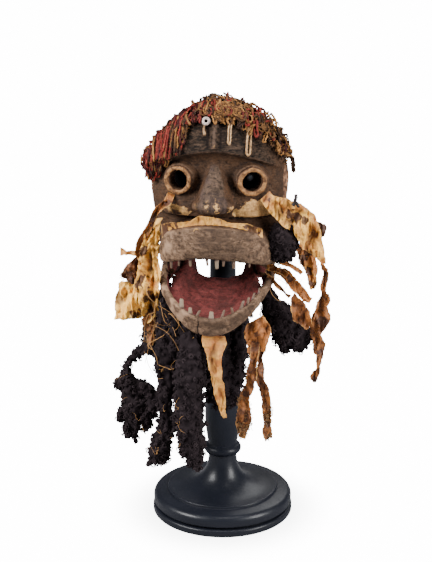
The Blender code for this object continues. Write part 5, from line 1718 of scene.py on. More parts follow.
def hide_leaf(
    rows, tone, seed, crumple=0.0026, ragged=0.0016, curl=0.002, count=100, across=18, spots=(), calm=0.0
):
    """One scrap of hide through rows of both edges: points, faces and painted values."""
    way = eased(np.array(rows) / MILLIMETRES, count)
    grid = np.zeros((count, across, 3))
    rim = np.zeros((count, across))
    shares = np.linspace(0, 1, across)
    middle = np.stack([way[:, 0] + way[:, 2], way[:, 1] + way[:, 3]], -1) / 2
    reach = np.concatenate([[0], np.cumsum(np.linalg.norm(np.diff(middle, axis=0), axis=1))])
    for i in range(count):
        left = np.array([way[i, 0], RIM_Y + way[i, 4], EYE_LEVEL + way[i, 1]])
        right = np.array([way[i, 2], RIM_Y + way[i, 4], EYE_LEVEL + way[i, 3]])
        width = max(np.linalg.norm(right - left), 0.002)
        gone = reach[i]
        tear = []
        for side in (0.0, 40.0):
            wander = 1.5 * noise.noise(Vector((gone * 75, seed * 7.1 + side, 0.0)))
            tear.append(ragged * (wander + 0.45 * noise.noise(Vector((gone * 330, side, seed)))) / width)
        low, high = min(tear[0], 0.3), 1 + max(tear[1], -0.3)
        for j, share in enumerate(shares):
            grid[i, j] = left + (right - left) * (low + (high - low) * share)
            rim[i, j] = max(1 - 2.2 * width * min(share, 1 - share) / 0.006, 0) if width > 0.001 else 1
    ends = np.minimum(np.arange(count), np.arange(count)[::-1])[:, None] / (0.04 * count)
    rim = np.maximum(rim, 1 - np.minimum(ends, 1))
    flat = grid.reshape(-1, 3)
    broad = rough_field(flat, 70, seed, 2, (1.2, 1, 0.55))
    crease = 1 - np.abs(rough_field(flat, 95, seed + 5, 2, (1.3, 1, 0.42))) * 4.0
    small = rough_field(flat, 230, seed + 9, 2, (1.2, 1, 0.6))
    out = 0.95 * broad + 0.42 * np.clip(crease, 0, 1) + 0.22 * small
    settle_in = np.repeat(np.minimum(np.arange(count) / (0.1 * count), 1.0), across)
    rolled = (
        np.tile((2 * shares - 1) ** 2, count)
        * (0.4 + np.repeat(rough_field(grid[:, 0], 40, seed + 13, 1), across))
    )
    shift = (2.6 * crumple * out + 1.5 * curl * rolled) * settle_in
    flat[:, 1] -= shift
    grid = flat.reshape(count, across, 3)
    along = np.gradient(grid, axis=0)
    over = np.gradient(grid, axis=1)
    normal = np.cross(over, along)
    normal /= np.maximum(np.linalg.norm(normal, axis=2, keepdims=True), 1e-9)
    normal *= np.sign(-normal[:, :, 1:2] + 1e-9) if np.mean(normal[:, :, 1]) > 0 else 1
    thin = HIDE_THICKNESS / 2 * (1 - 0.5 * rim[:, :, None])
    front, back = grid + normal * thin, grid - normal * thin
    points = np.concatenate([front.reshape(-1, 3), back.reshape(-1, 3)])
    brown = np.zeros(len(flat))
    for at, over_share, size, strength in spots:
        i, j = int(at * (count - 1)), int(over_share * (across - 1))
        away = np.linalg.norm((flat - grid[i, j]) * (1, 0.5, 1), axis=1)
        wild = (
            0.45 * rough_field(flat, 140, seed + 21, 2, (1, 1, 0.5))
            + 0.3 * rough_field(flat, 320, seed + 23, 1)
        )
        brown = np.maximum(brown, strength * ease(1.3, 0.6, away / size + 2.0 * wild))
    # painted shade where the crumpled hide lies back in folds
    fold = np.clip(0.45 - 0.9 * out, 0, 1)
    layers = {"tone": np.full(len(flat), tone), "calm": np.full(len(flat), calm)}
    layers.update({"fold": fold * (1 - 0.5 * calm), "brown": brown, "edge": rim.ravel()})
    return points, shell_faces(count, across), {name: np.tile(value, 2) for name, value in layers.items()}


def hide_piece(name, leaves, node):
    """Leaves of hide as one piece."""
    points = []
    faces = []
    layers = {}
    for leaf_points, leaf_faces, leaf_layers in leaves:
        start = sum(len(p) for p in points)
        points.append(leaf_points)
        faces += [tuple(start + corner for corner in face) for face in leaf_faces]
        for key, value in leaf_layers.items():
            layers.setdefault(key, []).append(value)
    piece = piece_of(name, np.concatenate(points), faces, rawhide, sharp=60)
    for key, value in layers.items():
        paint(piece.data, key, np.concatenate(value))
    settle(piece, "rawhide", node)


# The moustache: a pale strip of hide along the top of the upper lip, browned at both ends, with
# a folded knot under the nose. It is tied at the corners of the lip.
MOUSTACHE = [
    (-60.5, -49.1, -59.5, -64.3, -56), (-49.3, -45.6, -47.1, -59.5, -61.5),
    (-36.9, -43.1, -35.9, -54, -68), (-24.9, -40.4, -23.8, -50.1, -73),
    (-13.1, -33.4, -13.2, -48.3, -76.5), (-4, -33.4, -4, -47.7, -78), (6.1, -34.7, 6.2, -47.6, -78.5),
    (18.3, -39.1, 18.3, -48.6, -77.5), (31.4, -41.2, 31.5, -51.2, -74.5), (44.3, -43.9, 44.4, -55.2, -69),
    (54.9, -49, 56.1, -60, -61),
]

KNOT = [
    (-20, -53, -15, -60, -80), (-16.5, -45.5, -11, -59, -83), (-10, -47, -6, -61, -85),
    (-4, -48, 1, -60, -85), (4, -51, 8, -59, -83), (10, -54, 13, -58, -81),
]
moustache_spots = [
    (0.04, 0.4, 0.019, 1.3), (0.17, 0.9, 0.008, 1.0), (0.9, 0.45, 0.011, 1.0), (0.62, 0.3, 0.003, 0.5)
]
hide_piece(
    "moustache_strip",
    [
        hide_leaf(
            MOUSTACHE, 0.72, 3, crumple=0.0012, ragged=0.0008, count=120, across=14, spots=moustache_spots,
            calm=0.55,
        ),
        hide_leaf(KNOT, 0.76, 8, count=60, across=14, calm=0.5, spots=[(0.75, 0.5, 0.004, 0.6)]),
    ],
    "moustache_hide",
)


# The left hides: a rolled strip from under the eye ring, a broad crumpled scrap, and smaller
# bits caught behind it. A pale flap hangs below from the side of the jaw.
LEFT_STRIP = [
    (-54.5, -15.2, -46.5, -17.3, -40.5), (-58.7, -22.6, -49.5, -25.9, -48),
    (-66, -30.1, -57.5, -31.7, -50), (-71.8, -38.7, -63.6, -37.6, -49), (-75.6, -48, -67.5, -46.4, -47),
    (-82.5, -59.5, -71.6, -56.2, -45), (-88.1, -68.8, -76.6, -65.9, -44), (-91.7, -78.1, -80, -76.8, -43),
    (-92.3, -86.5, -81.7, -87.8, -43), (-88.7, -94, -83.4, -95.4, -43),
]
LEFT_BROAD = [
    (-69.7, -46.6, -61, -45.2, -41.5), (-75.8, -54.9, -61.5, -51.9, -43),
    (-80.2, -63.6, -62.9, -59.2, -44), (-82.7, -73.3, -64.1, -70.4, -45),
    (-85.2, -80.8, -62.7, -81.1, -47), (-87.9, -90.6, -66.1, -88.9, -48),
    (-88.7, -98.3, -63.4, -97.1, -49), (-90, -107.9, -62.3, -107.8, -49),
    (-91.5, -118.7, -63, -118.7, -48), (-92.1, -127.8, -64.3, -129.9, -48),
    (-89.5, -137.9, -64.9, -141, -48), (-87.2, -150.3, -66.3, -152.5, -47),
    (-85.3, -163.1, -71.1, -164, -45), (-83.7, -170.5, -78.6, -172.8, -44),
]
LEFT_CLUMP = [
    (-91.2, -91.6, -84.6, -92.2, -36), (-99.3, -100.7, -87.9, -101.5, -36),
    (-106.7, -109.5, -89.8, -111.9, -35), (-110.6, -117.8, -91.7, -119.8, -34),
    (-106, -123.3, -93.8, -125.4, -34), (-99.7, -127.6, -93.8, -128.6, -34),
]
LEFT_TAB = [
    (-111.9, -83.6, -112.1, -92.2, -36), (-107.9, -84.8, -108, -91, -36.5),
    (-102.4, -86.8, -102.4, -90.7, -37), (-95.3, -85.6, -95.4, -92, -38),
    (-87.1, -84.4, -87.2, -93.2, -40),
]
LEFT_LOW = [
    (-83.9, -160.9, -68.3, -161.6, -42), (-85.6, -170.2, -69.8, -170.7, -42),
    (-83.4, -179.4, -71.1, -179.4, -42), (-82, -188.9, -72.1, -189.5, -41.5),
    (-82.6, -197.4, -75.1, -199.1, -41),
]
LEFT_CURL = [
    (-66.4, -147.8, -60.9, -147.6, -44), (-65.7, -155.2, -54.5, -156.8, -45),
    (-66.2, -162, -49.3, -164.5, -46), (-64.6, -167.8, -43, -170.4, -47),
    (-60.7, -174.8, -45, -178.3, -47), (-66.5, -185.7, -59.1, -191.6, -46),
]
LEFT_FLAP = [
    (-83.5, -117.3, -73.6, -120, -24), (-103.3, -125.5, -83.5, -129.3, -25),
    (-115.6, -127.7, -85.5, -137.3, -26), (-118.1, -135.8, -86, -142.8, -28),
    (-119.7, -144.8, -85.5, -149.7, -29), (-121, -154.8, -85.1, -156.6, -30),
    (-122.4, -164.9, -85.4, -164.5, -31), (-122.4, -171.8, -88.7, -171.3, -31),
]

broad_spots = [
    (0.62, 0.22, 0.0085, 1.0), (0.31, 0.1, 0.006, 0.9), (0.76, 0.6, 0.007, 0.7), (0.9, 0.5, 0.008, 0.8),
    (0.12, 0.3, 0.007, 0.7),
]
hide_piece(
    "left_hides",
    [
        hide_leaf(
            LEFT_STRIP, 0.36, 21, ragged=0.001, curl=0.008,
            spots=[(0.12, 0.7, 0.004, 0.9), (0.45, 0.9, 0.006, 0.8)],
        ),
        hide_leaf(
            LEFT_BROAD, 0.8, 22, crumple=0.0042, ragged=0.0022, count=150, across=26, spots=broad_spots
        ),
        hide_leaf(
            LEFT_CLUMP, 0.18, 23, crumple=0.0034, ragged=0.003, count=60, spots=[(0.92, 0.6, 0.0045, 1.3)]
        ),
        hide_leaf(LEFT_TAB, 0.62, 24, crumple=0.0014, ragged=0.0012, count=40, across=8),
        hide_leaf(LEFT_LOW, 0.22, 25, crumple=0.0022, ragged=0.002, count=50, across=12),
        hide_leaf(
            LEFT_CURL, 0.28, 26, crumple=0.0034, ragged=0.003, count=60, across=16,
            spots=[(0.3, 0.5, 0.006, 0.7)],
        ),
    ],
    "hide_left",
)
hide_piece(
    "left_flap",
    [
        hide_leaf(
            LEFT_FLAP, 0.92, 31, crumple=0.0034, ragged=0.0026, count=90, across=26,
            spots=[(0.85, 0.75, 0.006, 0.7)],
        )
    ],
    "hide_left_flap",
)


# The right hides: a broad flap with a dark curled corner, which runs on as a narrow torn strip,
# a brown scrap behind it, a thin curled loop from the jaw, and torn strips across to the loop.
RIGHT_FLAP = [
    (61.4, -10.5, 51.5, -20.4, -44), (69.2, -15.3, 58.8, -29, -48), (82, -18.2, 67.9, -39.8, -48),
    (93, -21.1, 78.4, -50.7, -44), (103.4, -28.4, 88.5, -58.2, -41), (112.5, -37.9, 95, -68.4, -39),
    (118.6, -52, 100.5, -77.4, -38), (122.6, -68.2, 109.8, -84.7, -38), (125.5, -85.6, 118.5, -89.6, -38),
    (126.6, -93.4, 123.2, -94, -37),
]
RIGHT_CORNER = [
    (111.1, -43.3, 109.6, -47.1, -36), (119.7, -47.1, 113.1, -55, -35), (125.9, -52.6, 116.6, -62, -34.5),
    (123.7, -63.3, 120.2, -65.8, -35),
]
RIGHT_CHAIN = [
    (124, -90.1, 119.5, -91.2, -37), (128.3, -100.3, 121.5, -101.9, -36), (129, -111, 123.5, -113.1, -35),
    (127.3, -120, 121.5, -125, -34), (130.3, -132.2, 121.2, -136.2, -33),
    (132, -145.8, 113.2, -150.1, -32), (131.5, -161.6, 112, -162.3, -32),
    (125.7, -171.6, 109.9, -170.7, -32), (122.7, -181.5, 112, -182, -32),
    (126.6, -190.7, 113.7, -196.2, -32), (126, -206.1, 116.3, -207, -32),
    (124.6, -222.4, 117.5, -221.4, -32), (120.7, -238.3, 112.9, -235.1, -32),
    (117.5, -243, 115.6, -242.6, -32),
]
RIGHT_BROWN = [
    (95.9, -80.8, 89, -83.9, -4), (105.9, -86.9, 92, -91.5, -4.5), (113.5, -94.5, 94.5, -100.9, -5),
    (115.2, -105.6, 98.9, -109.7, -6), (115.1, -115.9, 103.4, -118.3, -8),
    (115.8, -125.1, 107, -127.8, -10), (113.7, -132.2, 110, -133.8, -11),
]
LOOP_UPPER = [
    (56, -100, 56, -107, -26), (69, -101.2, 68, -110, -29), (79.6, -101.5, 77.1, -114.5, -34),
    (88.1, -105.7, 84.4, -118.8, -40), (96.1, -113.3, 91.3, -126.9, -44),
    (103.7, -120.8, 99.3, -133.4, -47), (112.6, -133.1, 109.1, -138.9, -48),
]
LOOP_LOWER = [
    (92.3, -127.2, 87.8, -134.6, -46), (103.1, -136.6, 89.5, -148.7, -47),
    (109.3, -147.6, 90.2, -160.4, -48), (112.2, -157.1, 100, -165.4, -48),
    (112.8, -166.6, 107.4, -169.8, -47),
]
BRIDGE_UPPER = [
    (60, -85, 59, -89, -33), (74, -90.5, 73, -95, -38), (87, -96, 85, -100, -39),
    (101, -106, 98, -109, -37),
]
BRIDGE_LOWER = [
    (60, -110, 59, -115, -33), (72, -118, 69, -122.5, -38), (80, -127, 76.5, -129, -40),
    (88, -133, 85, -136, -40),
]

flap_spots = [
    (0.08, 0.35, 0.004, 0.9), (0.33, 0.55, 0.0055, 0.9), (0.42, 0.45, 0.005, 0.9), (0.5, 0.35, 0.0045, 0.8)
]
chain_spots = [
    (0.12, 0.5, 0.005, 0.9), (0.48, 0.3, 0.007, 0.6), (0.75, 0.6, 0.005, 0.7), (0.95, 0.5, 0.005, 0.8)
]
hide_piece(
    "right_hides",
    [
        hide_leaf(
            RIGHT_FLAP, 0.7, 41, crumple=0.0032, ragged=0.0014, count=130, across=30, spots=flap_spots
        ),
        hide_leaf(
            RIGHT_CORNER, 0.05, 42, crumple=0.0024, count=40, across=14, spots=[(0.6, 0.6, 0.012, 1.2)]
        ),
        hide_leaf(
            RIGHT_CHAIN, 0.26, 43, ragged=0.0032, curl=0.003, count=170, across=16, spots=chain_spots
        ),
    ],
    "hide_right",
)
brown_spots = [
    (0.2, 0.2, 0.006, 0.9), (0.35, 0.9, 0.006, 0.9), (0.6, 0.85, 0.005, 0.8), (0.8, 0.8, 0.004, 0.8)
]
hide_piece(
    "right_brown_scrap",
    [hide_leaf(RIGHT_BROWN, 0.5, 51, ragged=0.0028, count=80, spots=brown_spots)],
    "hide_right_brown",
)
hide_piece(
    "right_loop",
    [
        hide_leaf(
            LOOP_UPPER, 0.46, 61, curl=0.004, ragged=0.002, count=90, across=14,
            spots=[(0.5, 0.5, 0.004, 0.7)],
        ),
        hide_leaf(BRIDGE_UPPER, 0.4, 63, crumple=0.0016, ragged=0.0012, count=50, across=8),
        hide_leaf(BRIDGE_LOWER, 0.26, 64, crumple=0.0016, ragged=0.0012, count=50, across=8),
        hide_leaf(LOOP_LOWER, 0.32, 62, crumple=0.0024, curl=0.004, ragged=0.0022, count=70, across=16),
    ],
    "hide_right_loop",
)


# The chin hides: a cream tongue in front, and a leaf that is slit into two long brown strips
# with hair on their ends.
CHIN_PALE = [
    (16.5, -168.9, -9.7, -168.8, -89), (18, -178.6, -7.6, -179.6, -92), (13.9, -190.5, -3.7, -191.2, -96),
    (14.2, -204.2, -0.6, -203.6, -98), (16.4, -221.2, 2.7, -220.6, -97.5), (17.4, -238.7, 6, -236.8, -96),
    (18.4, -254.2, 10.9, -253.3, -94), (18.8, -266.1, 14.7, -266.3, -92),
]
LEAF = [
    (57.6, -147.5, 39.5, -159.1, -74), (62.9, -153.3, 37.5, -165.8, -76), (66.6, -162, 39, -174.7, -76.5),
    (65.8, -173.2, 41.3, -184.9, -76), (63.3, -188.3, 43.2, -193.5, -76),
]
FORK_LEFT = [
    (53.5, -174.4, 42.5, -177.3, -75.5), (53.1, -191.5, 43.5, -194.3, -75),
    (52.3, -206.3, 41.7, -207.9, -74.5), (50.7, -224, 39.7, -219.6, -73),
    (46.2, -241.8, 35.7, -237.4, -72), (45.1, -256.8, 30.5, -250, -72), (46.4, -271.7, 30, -265, -72),
    (44.2, -286.8, 28.9, -282.6, -72), (38.4, -299.7, 30.2, -298.9, -72),
]
FORK_RIGHT = [
    (63, -176.2, 53.4, -179, -69), (60.7, -191.6, 51.5, -194.4, -67), (58.2, -203.5, 50.8, -205, -68),
    (61.8, -222.9, 50.9, -225.9, -68), (65.5, -242.5, 56.3, -245.4, -68),
    (69.2, -257.2, 59.3, -258.9, -68), (70.5, -272.1, 60.1, -275.1, -68), (69, -287.3, 60.2, -290.2, -68),
    (68.5, -299.9, 62.7, -301.5, -68),
]

hide_piece(
    "cream_tongue",
    [
        hide_leaf(
            CHIN_PALE, 0.66, 71, calm=0.3, crumple=0.0016, ragged=0.0014, across=16,
            spots=[(0.02, 0.3, 0.004, 0.5)],
        )
    ],
    "hide_chin_pale",
)
hide_piece(
    "split_leaf",
    [
        hide_leaf(
            LEAF, 0.4, 72, curl=0.0034, ragged=0.0018, count=70, across=22, spots=[(0.5, 0.5, 0.006, 0.5)]
        ),
        hide_leaf(
            FORK_LEFT, 0.24, 73, crumple=0.0022, curl=0.0034, ragged=0.0022, count=130, across=12,
            spots=[(0.55, 0.4, 0.005, 0.7)],
        ),
    ],
    "hide_chin_fork_left",
)
hide_piece(
    "split_leaf_right",
    [
        hide_leaf(
            FORK_RIGHT, 0.2, 74, crumple=0.0022, curl=0.0034, ragged=0.0022, count=130, across=12,
            spots=[(0.8, 0.4, 0.005, 0.6)],
        )
    ],
    "hide_chin_fork_right",
)


# The wool: thick matted locks of black-brown fleece tied under the jaw, and a tuft at the right
# corner of the mouth. Each lock is a felted core covered in tight curls. Rows of a path give
# its middle and its width in millimetres, from the middle between the eyes.
WOOL_PATHS = {
    "wool_long": [
        [
            (-25.9, -78.8, -157, 8), (-26.5, -77.5, -164, 18), (-24.1, -84, -187.5, 30),
            (-23.1, -88, -207.3, 33), (-24.1, -88, -232.9, 34), (-26.1, -86, -258.6, 34),
            (-26.1, -85, -282.3, 34), (-24.1, -84, -302, 31), (-20.5, -83, -320.8, 25),
            (-15, -82, -337.6, 14),
        ],
    ],
    "wool_middle": [
        [
            (0.1, -60.4, -157.3, 10), (0.5, -59.1, -164, 22), (1.5, -60, -177.7, 33),
            (2.5, -60, -203.3, 36), (4.4, -60, -229, 36), (7.4, -60, -252.7, 29), (10.4, -60, -271.4, 14),
        ],
    ],
    "wool_middle_right": [
        [
            (31.5, -46, -144.4, 8), (32.5, -43.9, -150, 16), (28.5, -44, -177.7, 27),
            (25.5, -44, -205.3, 26), (23.5, -44, -229, 23), (21.2, -44, -252.7, 19),
            (19.2, -44, -273.4, 10),
        ],
    ],
    "wool_left_middle": [
        [
            (-52.6, -60.4, -136.3, 8), (-54.5, -59.1, -143, 16), (-53.7, -60, -167.8, 27),
            (-54.6, -60, -192.5, 31), (-55, -60, -217.1, 29), (-56, -60, -246.7, 23),
            (-57, -60, -271.4, 19), (-57.6, -60, -294.1, 21), (-61.5, -60, -313.9, 24),
            (-70, -60, -331.6, 22), (-78.3, -60, -344.5, 12),
        ],
        [(-56, -61, -300, 14), (-60, -62, -318, 18), (-61, -61, -333, 15), (-59, -60, -344, 9)],
        [(-44, -62, -148, 12), (-44, -66, -165, 24), (-43, -70, -185, 24), (-44, -72, -205, 12)],
    ],
    "wool_left": [
        [
            (-59.2, -31.6, -125.9, 8), (-60.5, -31.1, -133, 16), (-66.5, -26, -157.9, 26),
            (-72.4, -24, -187.5, 34), (-78.3, -24, -204.3, 26), (-93.1, -26, -213.2, 14),
            (-105.9, -30, -227, 12), (-108, -32, -242.8, 18), (-103, -34, -258.6, 28),
            (-99, -36, -276.3, 30), (-100, -36, -294, 24), (-99, -36, -314, 14), (-98, -36, -326, 8),
        ],
        [(-101, -34, -248, 16), (-113, -36, -252, 16), (-121, -36, -258, 10)],
        [(-97, -34, -252, 18), (-83, -36, -260, 22), (-74, -38, -274, 20), (-72, -38, -290, 12)],
        [(-100, -36, -280, 18), (-112, -38, -288, 15), (-117, -38, -299, 9)],
        [(-92, -36, -270, 20), (-84, -38, -292, 18), (-86, -38, -312, 10)],
        [(-103, -36, -295, 14), (-109, -38, -311, 10), (-108, -38, -321, 6)],
    ],
    "wool_right": [
        [
            (56.2, -30.2, -126.6, 8), (57.5, -29.8, -133, 18), (65.5, -22, -154, 30),
            (74.4, -20, -169.8, 40), (86.2, -20, -182.6, 44), (95.1, -22, -195.4, 32),
            (98.5, -24, -209.2, 12),
        ],
        [(90, -22, -172, 16), (99, -24, -166, 14), (104, -26, -160, 9)],
        [(96, -24, -184, 16), (106, -26, -184, 14), (111, -27, -190, 9)],
        [(82, -24, -190, 14), (80, -26, -203, 12), (79, -26, -210, 7)],
    ],
    "wool_tuft": [
        [
            (70.4, -16.8, -60.6, 8), (74, -24, -59, 20), (74, -34, -64, 31), (74.5, -36, -74, 34),
            (75, -36, -85, 30), (74.5, -36, -95, 14),
        ],
        [(80, -34, -60, 12), (85, -36, -53, 10), (87, -36, -48, 6)],
    ],
}
WOOL_CURLS = {
    "wool_long": 520, "wool_middle": 300, "wool_middle_right": 220, "wool_left_middle": 460,
    "wool_left": 700, "wool_right": 460, "wool_tuft": 300,
}
CURL_RADIUS = 0.00085
CURL_STEPS = 16
KNOB_HEIGHT = 0.0062
LUMP_HEIGHT = 0.0046
GRAIN_HEIGHT = 0.0014
THINNEST_LOCK = 0.004
BALLED_SHARE = 0.45


def wool_finish():
    mix = Finish("matted_black_wool")
    shade = mix.painted("shade")
    mottle = mix.grain(160, 5, 0.6)
    fuzz = mix.grain(1400, 4, 0.7)
    colour = mix.blend(shade * 0.6 + 0.4 * mottle, (0.0066, 0.0048, 0.0056), (0.036, 0.026, 0.0285))
    colour = mix.over(colour, fuzz, 0.6, 0.8, (0.06, 0.045, 0.044), 0.3)
    return mix.set(
        Base_Color=colour, Roughness=0.95, Normal=mix.bump(fuzz, 0.0008), Specular_IOR_Level=0.06
    )


black_wool = wool_finish()


def felted_core(path, seed, count, sides):
    """A lumpy closed core along its path: points, ways out and thickness."""
    way = eased(np.array(path) / MILLIMETRES, count)
    middle = np.stack([way[:, 0], RIM_Y + way[:, 1], EYE_LEVEL + way[:, 2]], -1)
    ahead = np.gradient(middle, axis=0)
    ahead /= np.linalg.norm(ahead, axis=1, keepdims=True)
    side = Vector(ahead[0]).orthogonal().normalized()
    points = []
    outs = []
    for k in range(count):
        front = Vector(ahead[k])
        side = (side - front * side.dot(front)).normalized()
        other = front.cross(side)
        blunt = min((count - 1 - k) / 5, 1.0) ** 0.5 * min((k + 1) / 3, 1.0) ** 0.5
        girth = max(way[k, 3], THINNEST_LOCK) / 2 * max(blunt, 0.12)
        for s in range(sides):
            a = math.tau * s / sides
            out = side * math.cos(a) + other * math.sin(a)
            spot = Vector(middle[k]) + out * girth
            knob = 0.42 - noise.voronoi(spot * 165 + Vector((seed, 0, 0)))[0][0]
            fine = 0.42 - noise.voronoi(spot * 420 + Vector((0, seed, 0)))[0][0]
            big = noise.fractal(spot * 60 + Vector((0, seed, 0)), 0.8, 2.0, 2)
            grow = KNOB_HEIGHT * knob * min(girth / 0.008, 1.0) + GRAIN_HEIGHT * fine
            grow += LUMP_HEIGHT * big * min(girth / 0.011, 1.0)
            points.append(tuple(spot + out * (grow - 0.001)))
            outs.append(out)
    return points, outs, np.repeat(np.maximum(way[:, 3], THINNEST_LOCK), sides)


def fleece(name, paths, seed, curls):
    """The felted core of a lock, and the tight curls that stand out of it."""
    random = np.random.default_rng(seed)
    points = []
    outs = []
    weights = []
    faces = []
    for n, path in enumerate(paths):
        count, sides = (90, 40) if n == 0 else (36, 24)
        start = len(points)
        more_points, more_outs, more_weights = felted_core(path, seed + 31 * n, count, sides)
        points += more_points
        outs += more_outs
        weights.append(more_weights * (1.0 if n == 0 else 1.6))
        faces += [tuple(start + corner for corner in face) for face in loft_faces(count, sides)]
    weights = np.concatenate(weights)
    core = piece_of(f"{name}_core", points, faces, black_wool)
    paint(core.data, "shade", np.array([0.15 + 0.4 * noise.noise(Vector(p) * 190) for p in points]))
    lines = []
    for pick in random.choice(len(points), size=curls, p=weights / weights.sum()):
        out = (outs[pick] + Vector(random.normal(0, 0.4, 3))).normalized()
        base = Vector(points[pick]) - out * 0.0016
        balled = random.uniform() < BALLED_SHARE
        size = random.uniform(0.0016, 0.0029) if balled else random.uniform(0.001, 0.0024)
        length = size * 2.0 if balled else random.uniform(0.0025, 0.006)
        turns = random.uniform(2.2, 3.2) if balled else random.uniform(1.0, 2.2)
        across = out.orthogonal().normalized()
        third = out.cross(across)
        phase = random.uniform(0, math.tau)
        line = []
        for k in range(CURL_STEPS):
            share = k / (CURL_STEPS - 1)
            a = phase + math.tau * turns * share
            wide = size * (math.sin(math.pi * (0.08 + 0.84 * share)) if balled else 0.45 + 0.55 * share)
            droop = Vector((0, 0, -0.0015 * share * share))
            line.append(
                base + out * (length * share) + (across * math.cos(a) + third * math.sin(a)) * wide + droop
            )
        girth = random.uniform(0.8, 1.4) * np.linspace(1.1, 0.7, CURL_STEPS)
        lines.append(fibre(line, girth, 0.6, shade=random.uniform(0.1, 1.0)))
    curled = strands(
        f"{name}_curls", lines, black_wool, CURL_RADIUS, turns=0, wave=0.0012, wave_scale=400, hollow=0.9,
        seed=seed,
    )
    settle(core, "wool", name)
    settle(curled, "wool")


for n, (name, paths) in enumerate(WOOL_PATHS.items()):
    fleece(name, paths, 5 + n, WOOL_CURLS[name])


# Stray fibres: dry straw-coloured bast caught in the hides and the wool, short hair left on the
# torn hides, a black curl on the right flap and a thorn at the right of the jaw.
STRAY_RADIUS = 0.00048
STRAW_COUNT = 15
CURL_Y = -0.092


def bast_finish():
    mix = Finish("dry_bast")
    mottle = mix.grain(300, 3, 0.6)
    dry = mix.blend(mottle, (0.2, 0.085, 0.028), (0.66, 0.36, 0.13))
    colour = mix.blend(mix.painted("shade"), (0.014, 0.009, 0.008), dry)
    return mix.set(Base_Color=colour, Roughness=0.6, Specular_IOR_Level=0.25)


dry_bast = bast_finish()
stray_random = np.random.default_rng(17)
stray_lines = []


def stray(start, end, sag, girth, shade, wander, steps=22):
    """A thin fibre between two places, with a sag and a random bend."""
    start, end = Vector(start), Vector(end)
    bend = Vector(stray_random.normal(0, 1, 3)) * wander
    line = []
    for k in range(steps):
        share = k / (steps - 1)
        arch = math.sin(math.pi * share)
        line.append(
            start.lerp(end, share) + Vector((0, 0, -sag * arch))
            + bend * math.sin(2 * math.pi * share) * 0.5
        )
    stray_lines.append(fibre(line, np.linspace(1.0, 0.7, steps) * girth, 1.0, shade=shade))


# from, to, sag and girth of each straw; places in millimetres from the middle between the eyes
STRAWS = [
    ((-66, -100, -140), (-80, -106, -185), -10, 1.7), ((-60, -104, -138), (-40, -122, -172), 6, 2.0),
    ((-72, -104, -152), (-46, -120, -156), 8, 1.6), ((-55, -108, -150), (-68, -114, -192), 8, 1.9),
    ((-62, -110, -160), (-79, -104, -212), -6, 1.5), ((-78, -104, -178), (-46, -124, -212), 14, 1.6),
    ((-48, -118, -146), (-18, -128, -170), 4, 1.7), ((-74, -90, -118), (-40, -122, -164), 3, 1.5),
    ((-70, -106, -165), (-36, -126, -188), -8, 1.4), ((-80, -100, -200), (-56, -116, -226), 12, 1.3),
    ((66, -72, -100), (74, -74, -128), 0, 1.3), ((62, -76, -120), (108, -78, -172), -4, 1.6),
    ((64, -74, -105), (100, -80, -112), 3, 1.4), ((66, -74, -92), (92, -80, -120), -4, 1.3),
]
for start, end, sag, girth in STRAWS:
    start, end = [Vector(place) / MILLIMETRES + Vector((0, 0, EYE_LEVEL)) for place in (start, end)]
    stray(start, end, sag / MILLIMETRES, 0.62 * girth, stray_random.uniform(0.4, 0.9), 0.009)
for k in range(STRAW_COUNT):
    x = stray_random.uniform(-0.105, -0.015)
    drop = stray_random.uniform(-0.31, -0.19)
    y = RIM_Y - (0.058 if x < -0.07 else 0.108)
    turn = stray_random.uniform(0, math.tau)
    reach = stray_random.uniform(0.006, 0.018)
    start = (x, y, EYE_LEVEL + drop)
    end = (x + reach * math.cos(turn), y - 0.002, EYE_LEVEL + drop + reach * math.sin(turn))
    stray(start, end, 0.004, 0.24, 0.95, 0.004)
stray((0.0895, CURL_Y, 0.4177), (0.0935, CURL_Y, 0.426), -0.002, 5.5, 0.0, 0.001)
stray((0.0935, CURL_Y, 0.426), (0.0905, CURL_Y, 0.429), -0.0015, 5.0, 0.0, 0.001)
stray((0.0925, CURL_Y, 0.4205), (0.0965, CURL_Y, 0.417), -0.001, 4.5, 0.0, 0.001)


def hairs(rows, count, low, high, length, shade):
    """Hair that is left on a strip of hide, between two shares of its length."""
    way = eased(np.array(rows) / MILLIMETRES, 60)
    for _ in range(count):
        at = way[int(stray_random.uniform(low, high) * 59)]
        over = stray_random.uniform(-0.1, 1.1)
        start = Vector(
            (between(at[0], at[2], over), RIM_Y + at[4] - 0.0015, EYE_LEVEL + between(at[1], at[3], over))
        )
        lean = Vector((0.9 * (over - 0.5) * 2, -0.35, -0.6)) + Vector(stray_random.normal(0, 0.45, 3))
        end = start + lean.normalized() * length * stray_random.uniform(0.5, 1.2)
        stray(start, end, 0.0006, 0.85, shade * stray_random.uniform(0.4, 1.5), 0.0006, 6)


hairs(FORK_LEFT, 190, 0.6, 1.0, 0.005, 0.42)
hairs(FORK_RIGHT, 150, 0.6, 1.0, 0.0042, 0.32)
hairs(LEFT_LOW, 70, 0.1, 1.0, 0.0038, 0.3)
hairs(LEFT_CLUMP, 60, 0.2, 0.9, 0.003, 0.3)
hairs(RIGHT_BROWN, 40, 0.2, 0.9, 0.0026, 0.4)
hairs(LEFT_CURL, 70, 0.2, 1.0, 0.0045, 0.55)
stray((0.068, -0.08, EYE_LEVEL - 0.137), (0.0825, -0.082, EYE_LEVEL - 0.1405), 0.0, 2.2, 0.0, 0.0005)
strays = strands(
    "stray_fibres", stray_lines, dry_bast, STRAY_RADIUS, turns=300, wave=0.003, wave_scale=60, hollow=0.8,
    seed=8,
)
settle(strays, "rawhide")


